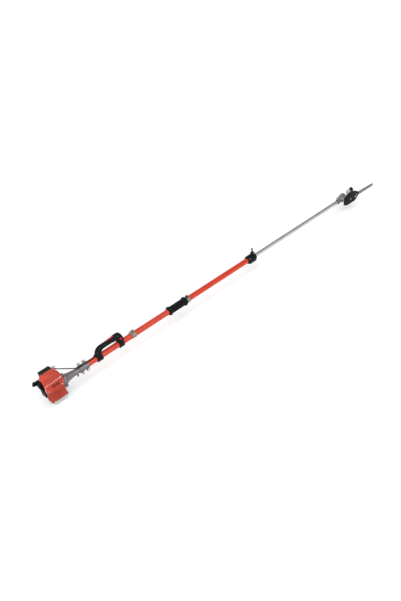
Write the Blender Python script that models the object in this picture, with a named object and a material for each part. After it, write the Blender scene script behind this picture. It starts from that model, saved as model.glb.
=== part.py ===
"""Petrol telescoping pole saw, modelled as separate named pieces.

All numbers below are millimetres; meshes are scaled to metres when they are made.
Frame: +X runs along the pole from the engine to the guide bar, +Z is up and +Y is
the left side. The origin lies at the middle of the fuel tank's bottom face.
"""
import math

import bmesh
import bpy
from mathutils import Matrix, Vector

MM = 0.001
GAP = 0.3                      # play between pieces that touch
WALL = 2.5                     # moulded covers

# Pole
AXIS_Z = 85.0                  # height of the pole's axis above the tank's base
OUTER_R, OUTER_BORE = 19.0, 17.0
INNER_R, INNER_BORE = 14.0, 12.5
OUTER_X0, OUTER_X1 = 165.0, 1640.0
INNER_X0, INNER_X1 = 1500.0, 2670.0
LOWER_SHAFT_R = 4.0
UPPER_SHAFT_R, UPPER_SHAFT_BORE = 7.0, 4.5
LOWER_SHAFT_X1 = 1720.0
UPPER_SHAFT_X0 = 1540.0
PINION_X = 2690.0              # back of the bevel pinion on the upper shaft

# Clutch housing and the clamp that joins it to the outer tube
HOUSING_X0, HOUSING_X1 = 49.0, OUTER_X0 - GAP
DRUM_X0, DRUM_X1, DRUM_R = 46.5, 72.0, 30.0
BELL_R = 32.5                  # inside of the housing round the drum
CLAMP_X0, CLAMP_X1, CLAMP_R = 165.2, 233.0, 23.0
CLAMP_ROLL = math.radians(38)  # the clamp is turned about the pole
CLAMP_BOLTS_X = (184.0, 218.0)
CLAMP_LUG_R = 29.0             # distance of the bolts from the axis
CLAMP_LUG_Y = 12.0             # half width of a lug

# Engine
COVER_X0, COVER_X1 = -73.0, 48.0
SIDE_Y = -64.0                 # outer face of the orange covers, right side
SPLIT_Y = 8.0                  # engine cover to filter cover
SPLIT_Z = 105.0                # engine cover to muffler guard
CROWN_Z = 195.0
TANK_TOP = 45.0
FILTER_X0, FILTER_X1 = -47.0, 26.0
CASE_TOP = 118.0               # crankcase to cylinder
CYLINDER_TOP = 168.0
BORE_R = 18.2
CRANK_THROW = 14.0
GUDGEON_Z = 139.0              # pin of the piston, at the top of its stroke
PISTON_Z = (131.0, 152.0)
WEB_R = 18.4                   # crank webs, clear of the piston at its lowest
FLYWHEEL_R = 41.0
STARTER_R = 31.0
STARTER_X0 = -77.0             # rear face of the round cup
TOWER_X0 = -90.0               # rear face of the rope tower above it
ROPE_EYE = (18.0, 152.0)       # y and z of the hole that the rope comes out of
PULLEY_X = -67.0               # groove of the rope pulley
FUEL_CAP = (-36.0, 26.0)       # y and z
CHOKE = (46.0, 132.0)          # y and z
PRIMER = (0.0, 103.0)          # x and z

# Handle
HANDLE_REAR = (292.0, 331.0)
HANDLE_FRONT = (458.0, 492.0)
HANDLE_RING_R = 27.5
HANDLE_HALF = 12.0             # half width of the loop
TRIGGER_PIVOT = (452.0, 0.0, 139.0)
LOCKOUT_PIVOT = (437.0, 0.0, 153.5)
STOP_BUTTON = (479.0, -14.0, 122.0)

# Along the pole
SLING_X = (558.0, 588.0)
SLING_R = 21.5
SLING_EYE = (566.0, 114.0)     # x and z of the hole that carries the ring
SLING_BOLT = (580.0, 113.0)    # x and z
RING_DROOP = math.radians(22)  # the sling ring lies back against the tube
GRIP_X = (859.0, 1018.0)
COLLAR_X = (1018.3, 1043.0)
LOCK_X = (1598.0, 1680.0)
LOCK_PIVOT = (1664.0, 0.0, 117.0)
LEVER_LENGTH = 36.0

# Saw head
SOCKET_X0, SOCKET_X1 = 2640.0, 2692.0
SOCKET_BOLT = (2651.0, 110.0)  # x and z
SPROCKET = (2718.0, AXIS_Z)    # x and z of the output shaft
SPROCKET_R = 11.0
NOSE = (3041.0, 77.0)          # x and z of the guide bar's nose
NOSE_R = 5.6
CHAIN_H = 4.6
BAR_Y = (-46.0, -44.2)
CHAIN_Y = (-47.4, -42.8)
BAR_X0 = 2740.0
PAD_Y = (-41.5, -36.0)         # face that carries the bar
OIL_CAP = (2793.0, -21.0, 135.0)
COVER_NUT = (2788.0, 84.0)     # x and z
COVER_Y0 = -63.0               # outer face of the sprocket cover
OIL_CAP_R = 16.5
OIL_CAP_AXIS = Vector((0.0, -0.7071, 0.7071))

PLANES = {
    "XZ": lambda a, b, t: (a, t, b),
    "YZ": lambda a, b, t: (t, a, b),
    "XY": lambda a, b, t: (a, b, t),
}


# ---------------------------------------------------------------- mesh helpers

def prism(outline, low, high, plane):
    """Extrude a closed outline along the axis that its plane leaves out."""
    bm = bmesh.new()
    put = PLANES[plane]
    bottom = [bm.verts.new(put(a, b, low)) for a, b in outline]
    top = [bm.verts.new(put(a, b, high)) for a, b in outline]
    bm.faces.new(bottom)
    bm.faces.new(reversed(top))
    count = len(outline)
    for i in range(count):
        j = (i + 1) % count
        bm.faces.new((bottom[i], top[i], top[j], bottom[j]))
    bmesh.ops.recalc_face_normals(bm, faces=bm.faces)
    return bm


def lathe(profile, segments=28, axis="X", centre=(0.0, 0.0)):
    """Turn a closed (along, radius) profile about an axis through centre."""
    bm = bmesh.new()
    rings = []
    for along, radius in profile:
        ring = []
        for k in range(segments if radius > 0 else 1):
            angle = 2 * math.pi * k / segments
            a = centre[0] + radius * math.cos(angle)
            b = centre[1] + radius * math.sin(angle)
            spot = {"X": (along, a, b), "Y": (a, along, b), "Z": (a, b, along)}[axis]
            ring.append(bm.verts.new(spot))
        rings.append(ring)
    for ring, after in zip(rings, rings[1:] + rings[:1]):
        if len(ring) == 1 and len(after) == 1:
            continue
        for k in range(segments):
            n = (k + 1) % segments
            if len(ring) == 1:
                bm.faces.new((ring[0], after[n], after[k]))
            elif len(after) == 1:
                bm.faces.new((ring[k], ring[n], after[0]))
            else:
                bm.faces.new((ring[k], ring[n], after[n], after[k]))
    bmesh.ops.recalc_face_normals(bm, faces=bm.faces)
    return bm


def pole_lathe(profile, segments=28):
    return lathe(profile, segments, "X", (0.0, AXIS_Z))


def tube_profile(x0, x1, outer, bore):
    return [(x0, outer), (x1, outer), (x1, bore), (x0, bore)]


def rod(start, end, radius, segments=16):
    """A cylinder between two points."""
    start = Vector(start)
    end = Vector(end)
    bm = bmesh.new()
    bmesh.ops.create_cone(bm, cap_ends=True, segments=segments, radius1=radius, radius2=radius,
                          depth=(end - start).length)
    turn = (end - start).to_track_quat("Z", "Y").to_matrix().to_4x4()
    bmesh.ops.transform(bm, matrix=Matrix.Translation((start + end) / 2) @ turn, verts=bm.verts)
    return bm


def box(low, high, round_edges=0.0, steps=2):
    bm = bmesh.new()
    bmesh.ops.create_cube(bm, size=1.0)
    for vert in bm.verts:
        vert.co = Vector([low[i] if vert.co[i] < 0 else high[i] for i in range(3)])
    if round_edges:
        bmesh.ops.bevel(bm, geom=bm.edges[:], offset=round_edges, segments=steps,
                        profile=0.5, affect="EDGES")
    return bm


def arc(centre, radius, start_deg, end_deg, steps):
    """Points on a circle, with both ends."""
    points = []
    for k in range(steps + 1):
        angle = math.radians(start_deg + (end_deg - start_deg) * k / steps)
        points.append((centre[0] + radius * math.cos(angle), centre[1] + radius * math.sin(angle)))
    return points


def raw_object(name, bm):
    mesh = bpy.data.meshes.new(name)
    bm.to_mesh(mesh)
    bm.free()
    obj = bpy.data.objects.new(name, mesh)
    bpy.context.scene.collection.objects.link(obj)
    return obj


def combine(obj, bm, operation):
    """Boolean a second mesh into an object and drop the tool."""
    tool = raw_object("tool", bm)
    modifier = obj.modifiers.new("combine", "BOOLEAN")
    modifier.operation = operation
    modifier.solver = "EXACT"
    modifier.object = tool
    bpy.context.view_layer.update()
    graph = bpy.context.evaluated_depsgraph_get()
    result = bpy.data.meshes.new_from_object(obj.evaluated_get(graph))
    obj.modifiers.clear()
    old = obj.data
    obj.data = result
    bpy.data.meshes.remove(old)
    mesh = tool.data
    bpy.data.objects.remove(tool)
    bpy.data.meshes.remove(mesh)


def piece(name, bm, material, origin=(0, 0, 0), add=(), cut=(), keep=()):
    """One named piece: a base mesh with others added, cut away or intersected."""
    obj = raw_object(name, bm)
    for extra in add:
        combine(obj, extra, "UNION")
    for limit in keep:
        combine(obj, limit, "INTERSECT")
    for cutter in cut:
        combine(obj, cutter, "DIFFERENCE")
    mesh = obj.data
    mesh.transform(Matrix.Scale(MM, 4) @ Matrix.Translation(-Vector(origin)))
    obj.location = Vector(origin) * MM
    mesh.name = name
    mesh.materials.clear()
    mesh.materials.append(material)
    mesh.shade_smooth()
    mesh.set_sharp_from_angle(angle=math.radians(35))
    return obj


def paint(name, colour, roughness, metallic=0.0):
    material = bpy.data.materials.new(name)
    material.use_nodes = True
    shader = material.node_tree.nodes["Principled BSDF"]
    shader.inputs["Base Color"].default_value = (*colour, 1.0)
    shader.inputs["Roughness"].default_value = roughness
    shader.inputs["Metallic"].default_value = metallic
    material.diffuse_color = (*colour, 1.0)
    return material


# ---------------------------------------------------------------- pole and drive

def make_pole(mat):
    piece("outer_tube", pole_lathe(tube_profile(OUTER_X0, OUTER_X1, OUTER_R, OUTER_BORE)),
          mat["orange"])
    piece("inner_tube", pole_lathe(tube_profile(INNER_X0, INNER_X1, INNER_R, INNER_BORE)),
          mat["aluminium"])
    piece("guide_bush", pole_lathe(tube_profile(OUTER_X1 - 40, OUTER_X1 - 2, OUTER_BORE - GAP,
                                                INNER_R + GAP)), mat["nylon"])
    piece("inner_bush", pole_lathe(tube_profile(INNER_X0, INNER_X0 + 30, OUTER_BORE - GAP,
                                                INNER_R + GAP)), mat["nylon"])
    shaft_x0 = DRUM_X1 + GAP
    piece("lower_shaft", rod((shaft_x0, 0, AXIS_Z), (LOWER_SHAFT_X1, 0, AXIS_Z), LOWER_SHAFT_R, 12),
          mat["steel"], origin=(shaft_x0, 0, AXIS_Z))
    pinion = [(UPPER_SHAFT_X0, UPPER_SHAFT_R), (PINION_X + 2, UPPER_SHAFT_R), (PINION_X + 4, 9.0),
              (PINION_X + 12, 6.5), (PINION_X + 12, 0.0), (PINION_X, 0.0),
              (PINION_X - 2, UPPER_SHAFT_BORE), (UPPER_SHAFT_X0, UPPER_SHAFT_BORE)]
    piece("upper_shaft", pole_lathe(pinion, 16), mat["steel"], origin=(PINION_X, 0, AXIS_Z))
    piece("clutch_drum", pole_lathe([(DRUM_X0, DRUM_R), (66, DRUM_R), (66, 9), (DRUM_X1, 9),
                                     (DRUM_X1, 0), (62, 0), (62, DRUM_R - 3), (DRUM_X0, DRUM_R - 3)]),
          mat["steel"], origin=(66, 0, AXIS_Z))


def make_coupling(mat):
    profile = [(HOUSING_X0, 37), (67, 36), (71, 30), (84, 25), (104, 21), (140, 18),
               (HOUSING_X1, 18), (HOUSING_X1, 10), (140, 10), (104, 15), (84, 20), (69, 26),
               (67.5, BELL_R), (HOUSING_X0, BELL_R)]
    lugs = []
    for quarter in range(4):
        angle = math.radians(45 + 90 * quarter)
        y = 41 * math.cos(angle)
        z = AXIS_Z + 41 * math.sin(angle)
        lugs.append(rod((HOUSING_X0, y, z), (64, y, z), 6, 12))
    keep_drum_clear = rod((40, 0, AXIS_Z), (67.5, 0, AXIS_Z), BELL_R, 28)
    piece("clutch_housing", pole_lathe(profile), mat["cast"], add=lugs, cut=[keep_drum_clear])

    def clamp_half(name, side):
        body = rod((CLAMP_X0, 0, AXIS_Z), (CLAMP_X1, 0, AXIS_Z), CLAMP_R, 28)
        ears = []
        for sign in (-1, 1):
            for x in CLAMP_BOLTS_X:
                z = AXIS_Z + sign * CLAMP_LUG_R
                ears.append(box((x - 9, -CLAMP_LUG_Y, min(z, AXIS_Z) - 7 * (sign < 0)),
                                (x + 9, CLAMP_LUG_Y, max(z, AXIS_Z) + 7 * (sign > 0)), 2.5, 1))
        bore = rod((CLAMP_X0 - 5, 0, AXIS_Z), (CLAMP_X1 + 5, 0, AXIS_Z), OUTER_R + GAP, 28)
        other = box((CLAMP_X0 - 5, min(0, side * -40) - GAP / 2 * (side < 0), AXIS_Z - 60),
                    (CLAMP_X1 + 5, max(0, side * -40) + GAP / 2 * (side > 0), AXIS_Z + 60))
        holes = []
        for x, z in bolt_spots():
            holes.append(rod((x, -30, z), (x, 30, z), 3.3, 12))
        half = piece(name, body, mat["cast"], add=ears, cut=[bore, other, *holes])
        roll(half)

    def bolt_spots():
        spots = []
        for x in CLAMP_BOLTS_X:
            for sign in (-1, 1):
                spots.append((x, AXIS_Z + sign * CLAMP_LUG_R))
        return spots

    def roll(obj):
        shift = Matrix.Translation((0, 0, AXIS_Z * MM))
        obj.data.transform(shift @ Matrix.Rotation(-CLAMP_ROLL, 4, "X") @ shift.inverted())

    clamp_half("clamp_near", -1)
    clamp_half("clamp_far", 1)
    for number, (x, z) in enumerate(bolt_spots(), start=1):
        head = rod((x, -CLAMP_LUG_Y - 6, z), (x, -CLAMP_LUG_Y - GAP, z), 5.5, 12)
        shank = rod((x, -CLAMP_LUG_Y - 1, z), (x, CLAMP_LUG_Y - 1, z), 3.0, 12)
        roll(piece(f"clamp_bolt_{number}", head, mat["steel"], add=[shank]))


# ---------------------------------------------------------------- engine

def make_engine_block(mat):
    def case_half(name, x0, x1):
        body = box((x0, -30, TANK_TOP + GAP), (x1, 30, CASE_TOP), 3.0, 2)
        chamber = rod((-17, 0, AXIS_Z), (17, 0, AXIS_Z), 27.5, 28)
        neck = rod((0, 0, AXIS_Z), (0, 0, 125), BORE_R + 0.5, 24)
        journal = rod((-60, 0, AXIS_Z), (60, 0, AXIS_Z), 6.4, 16)
        piece(name, body, mat["cast"], cut=[chamber, neck, journal])

    case_half("crankcase_rear", -29, -GAP / 2)
    case_half("crankcase_front", GAP / 2, 24)

    fins = [(CASE_TOP + GAP, 30), (CASE_TOP + 4, 30), (CASE_TOP + 4, 23)]
    for level in range(4):
        z = CASE_TOP + 9 + level * 9
        fins += [(z, 23), (z, 32), (z + 3.5, 32), (z + 3.5, 23)]
    head_floor = CYLINDER_TOP - 10
    fins += [(CYLINDER_TOP - 5, 23), (CYLINDER_TOP, 23), (CYLINDER_TOP, 5.4), (head_floor, 5.4),
             (head_floor, BORE_R), (CASE_TOP + GAP, BORE_R)]
    piece("cylinder", lathe(fins, 24, "Z"), mat["cast"])
    top = CYLINDER_TOP
    plug = [(top - 8, 0), (top - 8, 5.0), (top + GAP, 5.0), (top + GAP, 8.5), (top + 6, 8.5),
            (top + 6, 5.5), (top + 15, 5.0), (top + 16, 0)]
    piece("spark_plug", lathe(plug, 12, "Z"), mat["ceramic"])

    pin_z = AXIS_Z - CRANK_THROW
    rear = pole_lathe([(-58, 0), (-58, 6), (-13, 6), (-13, WEB_R), (-7, WEB_R), (-7, 0)], 24)
    front = pole_lathe([(7, 0), (7, WEB_R), (13, WEB_R), (13, 6), (60, 6), (60, 0)], 24)
    pin = rod((-8, 0, pin_z), (8, 0, pin_z), 5.0, 16)
    piece("crankshaft", rear, mat["steel"], origin=(0, 0, AXIS_Z), add=[pin, front])
    piece("flywheel", pole_lathe([(30, FLYWHEEL_R), (44, FLYWHEEL_R), (44, 34), (41, 32), (41, 14),
                                  (45, 14), (45, 6 + GAP), (31, 6 + GAP), (31, 14), (36, 14), (36, 34),
                                  (30, 34)]), mat["cast"], origin=(37, 0, AXIS_Z))
    piece("clutch_shoes", pole_lathe(tube_profile(47, 58, 26, 6 + GAP)), mat["steel"],
          origin=(52, 0, AXIS_Z), cut=[
              box((40, -14, AXIS_Z + 15), (70, 30, AXIS_Z + 18)),
              box((40, -30, AXIS_Z - 18), (70, 14, AXIS_Z - 15))])

    skirt = BORE_R - GAP
    low, high = PISTON_Z
    piston = [(low, skirt), (high, skirt), (high, 0), (high - 5, 0), (high - 5, 14), (low, 14)]
    piece("piston", lathe(piston, 24, "Z"), mat["aluminium"], origin=(0, 0, GUDGEON_Z + 4),
          add=[rod((-15, 0, GUDGEON_Z), (15, 0, GUDGEON_Z), 3.5, 12)])
    rod_body = box((-3.5, -4, 104.6), (3.5, 4, GUDGEON_Z - 1), 1.0, 1)
    piece("connecting_rod", rod_body, mat["steel"], origin=(0, 0, GUDGEON_Z),
          add=[rod((-3.5, 0, GUDGEON_Z), (3.5, 0, GUDGEON_Z), 6.5, 16)],
          cut=[rod((-9, 0, GUDGEON_Z), (9, 0, GUDGEON_Z), 3.5 + GAP, 12)])

    piece("muffler", box((-40, -58, 110), (20, -34.5, 147), 6, 2), mat["dark_steel"],
          add=[rod((0, -36, 133), (0, -33, 133), 9, 16)])
    primer_x, primer_z = PRIMER
    bulb_seat = rod((primer_x, 46, primer_z), (primer_x, 60, primer_z), 9.6, 20)
    piece("carburetor", box((-15, 34.5, 90), (17, 52, 156), 2.5, 1), mat["cast"], cut=[bulb_seat])
    piece("primer_bulb", lathe([(50.5, 0), (50.5, 9.2), (55, 9.2), (58, 8), (60.5, 5), (61.5, 0)],
                               20, "Y", PRIMER), mat["rubber"], origin=(primer_x, 56, primer_z))
    piece("filter_element", box((-38, 52 + GAP, 118), (12, 62, 168), 3, 1), mat["felt"])


def cover_side(inset):
    """Engine cover across the pole: upright side, rounded ridge, sloping top."""
    side = SIDE_Y + inset
    ridge = arc((side + 15, 149 - inset), 15, 180, 115, 5)
    return [(side, SPLIT_Z + GAP - 2 * inset), *ridge, (SPLIT_Y + inset, CROWN_Z - inset * 1.1),
            (SPLIT_Y + inset, SPLIT_Z + GAP - 2 * inset)]


def cover_plan(inset):
    """Engine cover from above, with its slanted front corner."""
    return [(COVER_X0 + inset, SIDE_Y - 1 + inset), (33 - inset / 2, SIDE_Y - 1 + inset),
            (COVER_X1 - inset, -44), (COVER_X1 - inset, SPLIT_Y + 1), (COVER_X0 + inset, SPLIT_Y + 1)]


def cover_front(inset):
    """Engine cover from its side, leaning in towards the crown."""
    return [(COVER_X0 + inset, 90), (COVER_X1 - inset, 90), (COVER_X1 - inset, 152),
            (40 - inset, 180 - inset), (16 - inset, 200), (-56 + inset, 200),
            (COVER_X0 + inset, 168 - inset)]


def make_covers(mat):
    hollow = raw_object("hollow", prism(cover_side(WALL), COVER_X0 + WALL, COVER_X1 - WALL, "YZ"))
    combine(hollow, prism(cover_plan(WALL), 80, 210, "XY"), "INTERSECT")
    combine(hollow, prism(cover_front(WALL), -70, 20, "XZ"), "INTERSECT")
    inside = bmesh.new()
    inside.from_mesh(hollow.data)
    bpy.data.objects.remove(hollow)

    vents = []
    for k in range(4):
        x = -29 + 11.5 * k
        vents.append(box((x - 3.2, SIDE_Y - 5, 123), (x + 3.2, SIDE_Y + 4, 146)))
    rear_door = box((COVER_X0 - 5, -34, 100), (COVER_X0 + 5, 20, 171))
    front_door = rod((40, 0, AXIS_Z), (60, 0, AXIS_Z), 52, 28)
    piece("engine_cover", prism(cover_side(0), COVER_X0, COVER_X1, "YZ"), mat["orange_plastic"],
          keep=[prism(cover_plan(0), 80, 210, "XY"), prism(cover_front(0), -70, 20, "XZ")],
          cut=[inside, rear_door, front_door, *vents])

    guard = box((-69, SIDE_Y + 1, 28), (37, -20, SPLIT_Z - GAP), 4, 2)
    piece("muffler_guard", guard, mat["orange_plastic"],
          cut=[box((-69 + WALL, SIDE_Y + 1 + WALL, 15), (37 - WALL, 0, 120)),
               box((-75, -33, 20), (40, -10, 120)),
               box((20, -57.5, 20), (45, -10, 47)),
               rod((25, 0, AXIS_Z), (50, 0, AXIS_Z), 47, 28)])

    def far_shell(inset):
        return [(SPLIT_Y + GAP - 2 * inset, 108 - 2 * inset), (66 - inset, 108 - 2 * inset),
                (66 - inset, 174), (62 - inset / 2, 183 - inset / 2), (54, 188 - inset),
                (SPLIT_Y + GAP - 2 * inset, CROWN_Z - 0.5 - inset)]

    piece("filter_cover", prism(far_shell(0), FILTER_X0, FILTER_X1, "YZ"), mat["black_plastic"],
          keep=[prism([(FILTER_X0 - 1, SPLIT_Y - 1), (FILTER_X1 + 1, SPLIT_Y - 1),
                       (FILTER_X1 + 1, 54), (FILTER_X1 - 9, 70), (FILTER_X0 + 9, 70),
                       (FILTER_X0 - 1, 54)], 90, 210, "XY")],
          cut=[prism(far_shell(WALL), FILTER_X0 + WALL, FILTER_X1 - WALL, "YZ"),
               box((-90, 0, 100), (-20, 26.5, 168)),
               rod((0, 0, 100), (0, 0, 184), 33, 28),
               rod((20, 0, AXIS_Z), (40, 0, AXIS_Z), 47, 28)])

    cap_y, cap_z = FUEL_CAP
    tank = box((-52, -56, 0), (34, 48, TANK_TOP), 7, 2)
    inside_tank = box((-52 + WALL, -56 + WALL, WALL), (34 - WALL, 48 - WALL, TANK_TOP - WALL), 5, 2)
    piece("fuel_tank", tank, mat["tank"],
          cut=[inside_tank, rod((20, cap_y, cap_z), (50, cap_y, cap_z), 9, 20)])
    piece("fuel_cap", lathe([(29, 0), (29, 8.6), (34 + GAP, 8.6), (34 + GAP, 14), (43, 13.5),
                             (45, 11), (45, 0)], 20, "X", FUEL_CAP), mat["black_plastic"],
          origin=(38, cap_y, cap_z))
    y, z = CHOKE
    choke = rod((FILTER_X0 - 5, y, z), (FILTER_X0 - GAP, y, z), 6, 16)
    piece("choke_lever", choke, mat["black_plastic"], origin=(FILTER_X0 - 3, y, z),
          add=[box((FILTER_X0 - 5, y - 3.5, z - 22), (FILTER_X0 - 1.5, y + 3.5, z), 1, 1)])


def make_starter(mat):
    cup = rod((STARTER_X0, 0, AXIS_Z), (-29 - GAP, 0, AXIS_Z), STARTER_R, 28)
    tower = prism([(STARTER_X0 + 1, 92), (-56, 92), (-56, 158), (-62, 166), (TOWER_X0 + 3, 166),
                   (TOWER_X0, 162), (TOWER_X0, 138), (STARTER_X0 - 6, 118)], -22, 26, "XZ")
    foot = box((STARTER_X0, -26, 58), (-50, -4, 88), 3, 1)
    inside = rod((STARTER_X0 + 3, 0, AXIS_Z), (0, 0, AXIS_Z), STARTER_R - 3, 28)
    rope_way = box((-72, 14, AXIS_Z), (-62, 22, 158))
    rope_y, rope_z = ROPE_EYE
    rope_eye = rod((TOWER_X0 - 5, rope_y, rope_z), (PULLEY_X + 1, rope_y, rope_z), 3.2, 12)
    piece("starter_housing", cup, mat["black_plastic"], add=[tower, foot],
          cut=[inside, rope_way, rope_eye])
    groove = [(-6, 0), (-6, 26), (-4, 26), (-2, 19), (1, 19), (3, 26), (5, 26), (5, 0)]
    piece("starter_pulley", pole_lathe([(PULLEY_X + along, radius) for along, radius in groove], 24),
          mat["nylon"], origin=(PULLEY_X, 0, AXIS_Z))
    back = TOWER_X0 - GAP
    hook = [(back, 143), (back, 166), (back - 4, 171), (back - 11, 168), (back - 17, 160),
            (back - 21, 149), (back - 20, 145.5), (back - 13, 153), (back - 7, 155),
            (back - 5, 149), (back - 5, 143)]
    piece("starter_grip", prism(hook, 10, 27, "XZ"), mat["black_plastic"], origin=(back, rope_y, rope_z))


CABLE_ROUTE = [(29.3, 58, 163), (43, 57, 159.5), (66, 46, 142), (88, 31.5, 134), (111, 17, 125.5),
               (135, 2, 117), (156, -9, 111.8), (178, -13, 110.5), (205, -13.5, 110.5),
               (233, -13, 109.6), (262, -9, 109), (280, -5.5, 109.2), (291.6, -4, 109.4)]


def smooth_route(points, spacing):
    """Points a fixed distance apart on a smooth curve through the given ones."""
    padded = [Vector(points[0]) * 2 - Vector(points[1])] + [Vector(p) for p in points]
    padded.append(Vector(points[-1]) * 2 - Vector(points[-2]))
    fine = []
    for a, b, c, d in zip(padded, padded[1:], padded[2:], padded[3:]):
        for k in range(12):
            t = k / 12
            fine.append(0.5 * (2 * b + (c - a) * t + (2 * a - 5 * b + 4 * c - d) * t * t
                               + (3 * b - a - 3 * c + d) * t ** 3))
    fine.append(Vector(points[-1]))
    route = [fine[0]]
    for spot in fine[1:-1]:
        if (spot - route[-1]).length >= spacing:
            route.append(spot)
    if (fine[-1] - route[-1]).length < spacing / 2:
        route.pop()
    route.append(fine[-1])
    return route


def make_cable(mat):
    curve = bpy.data.curves.new("throttle_cable", "CURVE")
    curve.dimensions = "3D"
    curve.bevel_depth = 3.0 * MM
    curve.bevel_resolution = 2
    curve.use_fill_caps = True
    route = smooth_route(CABLE_ROUTE, 9.0)
    spline = curve.splines.new("POLY")
    spline.points.add(len(route) - 1)
    for point, spot in zip(spline.points, route):
        point.co = (*(spot * MM), 1.0)
    curve.materials.append(mat["black_plastic"])
    obj = bpy.data.objects.new("throttle_cable", curve)
    bpy.context.scene.collection.objects.link(obj)


# ---------------------------------------------------------------- handle

def make_handle(mat):
    loop = [(293, 90), (293, 108), (298, 125), (307, 139), (320, 149), (338, 153.5), (420, 155.5),
            (434, 161), (450, 164), (474, 163), (486, 157), (495, 140), (503, 112), (501, 90),
            (460, 90), (456, 106), (448, 120), (438, 127), (358, 126), (345, 122), (337, 114),
            (333, 103), (331, 90)]

    def half(name, side, cuts):
        body = prism(loop, -HANDLE_HALF, HANDLE_HALF, "XZ")
        rings = []
        for x0, x1 in (HANDLE_REAR, HANDLE_FRONT):
            rings.append(pole_lathe([(x0, 0), (x0, HANDLE_RING_R - 2), (x0 + 2, HANDLE_RING_R),
                                     (x1 - 2, HANDLE_RING_R), (x1, HANDLE_RING_R - 2), (x1, 0)]))
        bore = rod((280, 0, AXIS_Z), (520, 0, AXIS_Z), OUTER_R + GAP, 28)
        if side < 0:
            other = box((270, -GAP / 2, 30), (530, 60, 190))
        else:
            other = box((270, -60, 30), (530, GAP / 2, 190))
        trigger_slot = box((404, -5.5, 108), (462, 5.5, 150))
        lockout_slot = box((376, -6.5, 149), (444, 6.5, 175))
        piece(name, body, mat["black_plastic"], add=rings,
              cut=[bore, other, trigger_slot, lockout_slot, *cuts])

    bx, by, bz = STOP_BUTTON
    button_hole = rod((bx, by - 16, bz), (bx, by + 7, bz), 7.3, 20)
    half("handle_near", -1, [button_hole])
    half("handle_far", 1, [])

    px, _, pz = TRIGGER_PIVOT
    blade = [(px + 6, pz), (px + 3, pz + 5), (px - 12, pz + 4), (px - 38, pz - 2), (px - 39, pz - 5),
             (px - 27, pz - 12), (px - 21, pz - 22), (px - 15, pz - 23), (px - 8, pz - 14),
             (px + 3, pz - 5)]
    piece("throttle_trigger", prism(blade, -4.8, 4.8, "XZ"), mat["black_plastic"],
          origin=TRIGGER_PIVOT)
    lx, _, lz = LOCKOUT_PIVOT
    lever = [(lx + 5, lz - 3), (lx + 5.5, lz + 7.5), (lx - 10, lz + 8), (lx - 34, lz + 6),
             (lx - 57, lz + 3.5), (lx - 58, lz + 2), (lx - 24, lz + 1.5), (lx - 4, lz - 3)]
    piece("lockout_lever", prism(lever, -5.8, 5.8, "XZ"), mat["red"], origin=LOCKOUT_PIVOT)
    button = [(by - 3.5, 0), (by - 3.5, 6), (by - 2.5, 7), (by + 2.5, 7), (by + 2.5, 0)]
    piece("stop_button", lathe(button, 20, "Y", (bx, bz)), mat["red"], origin=STOP_BUTTON)


# ---------------------------------------------------------------- fittings on the pole

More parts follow.
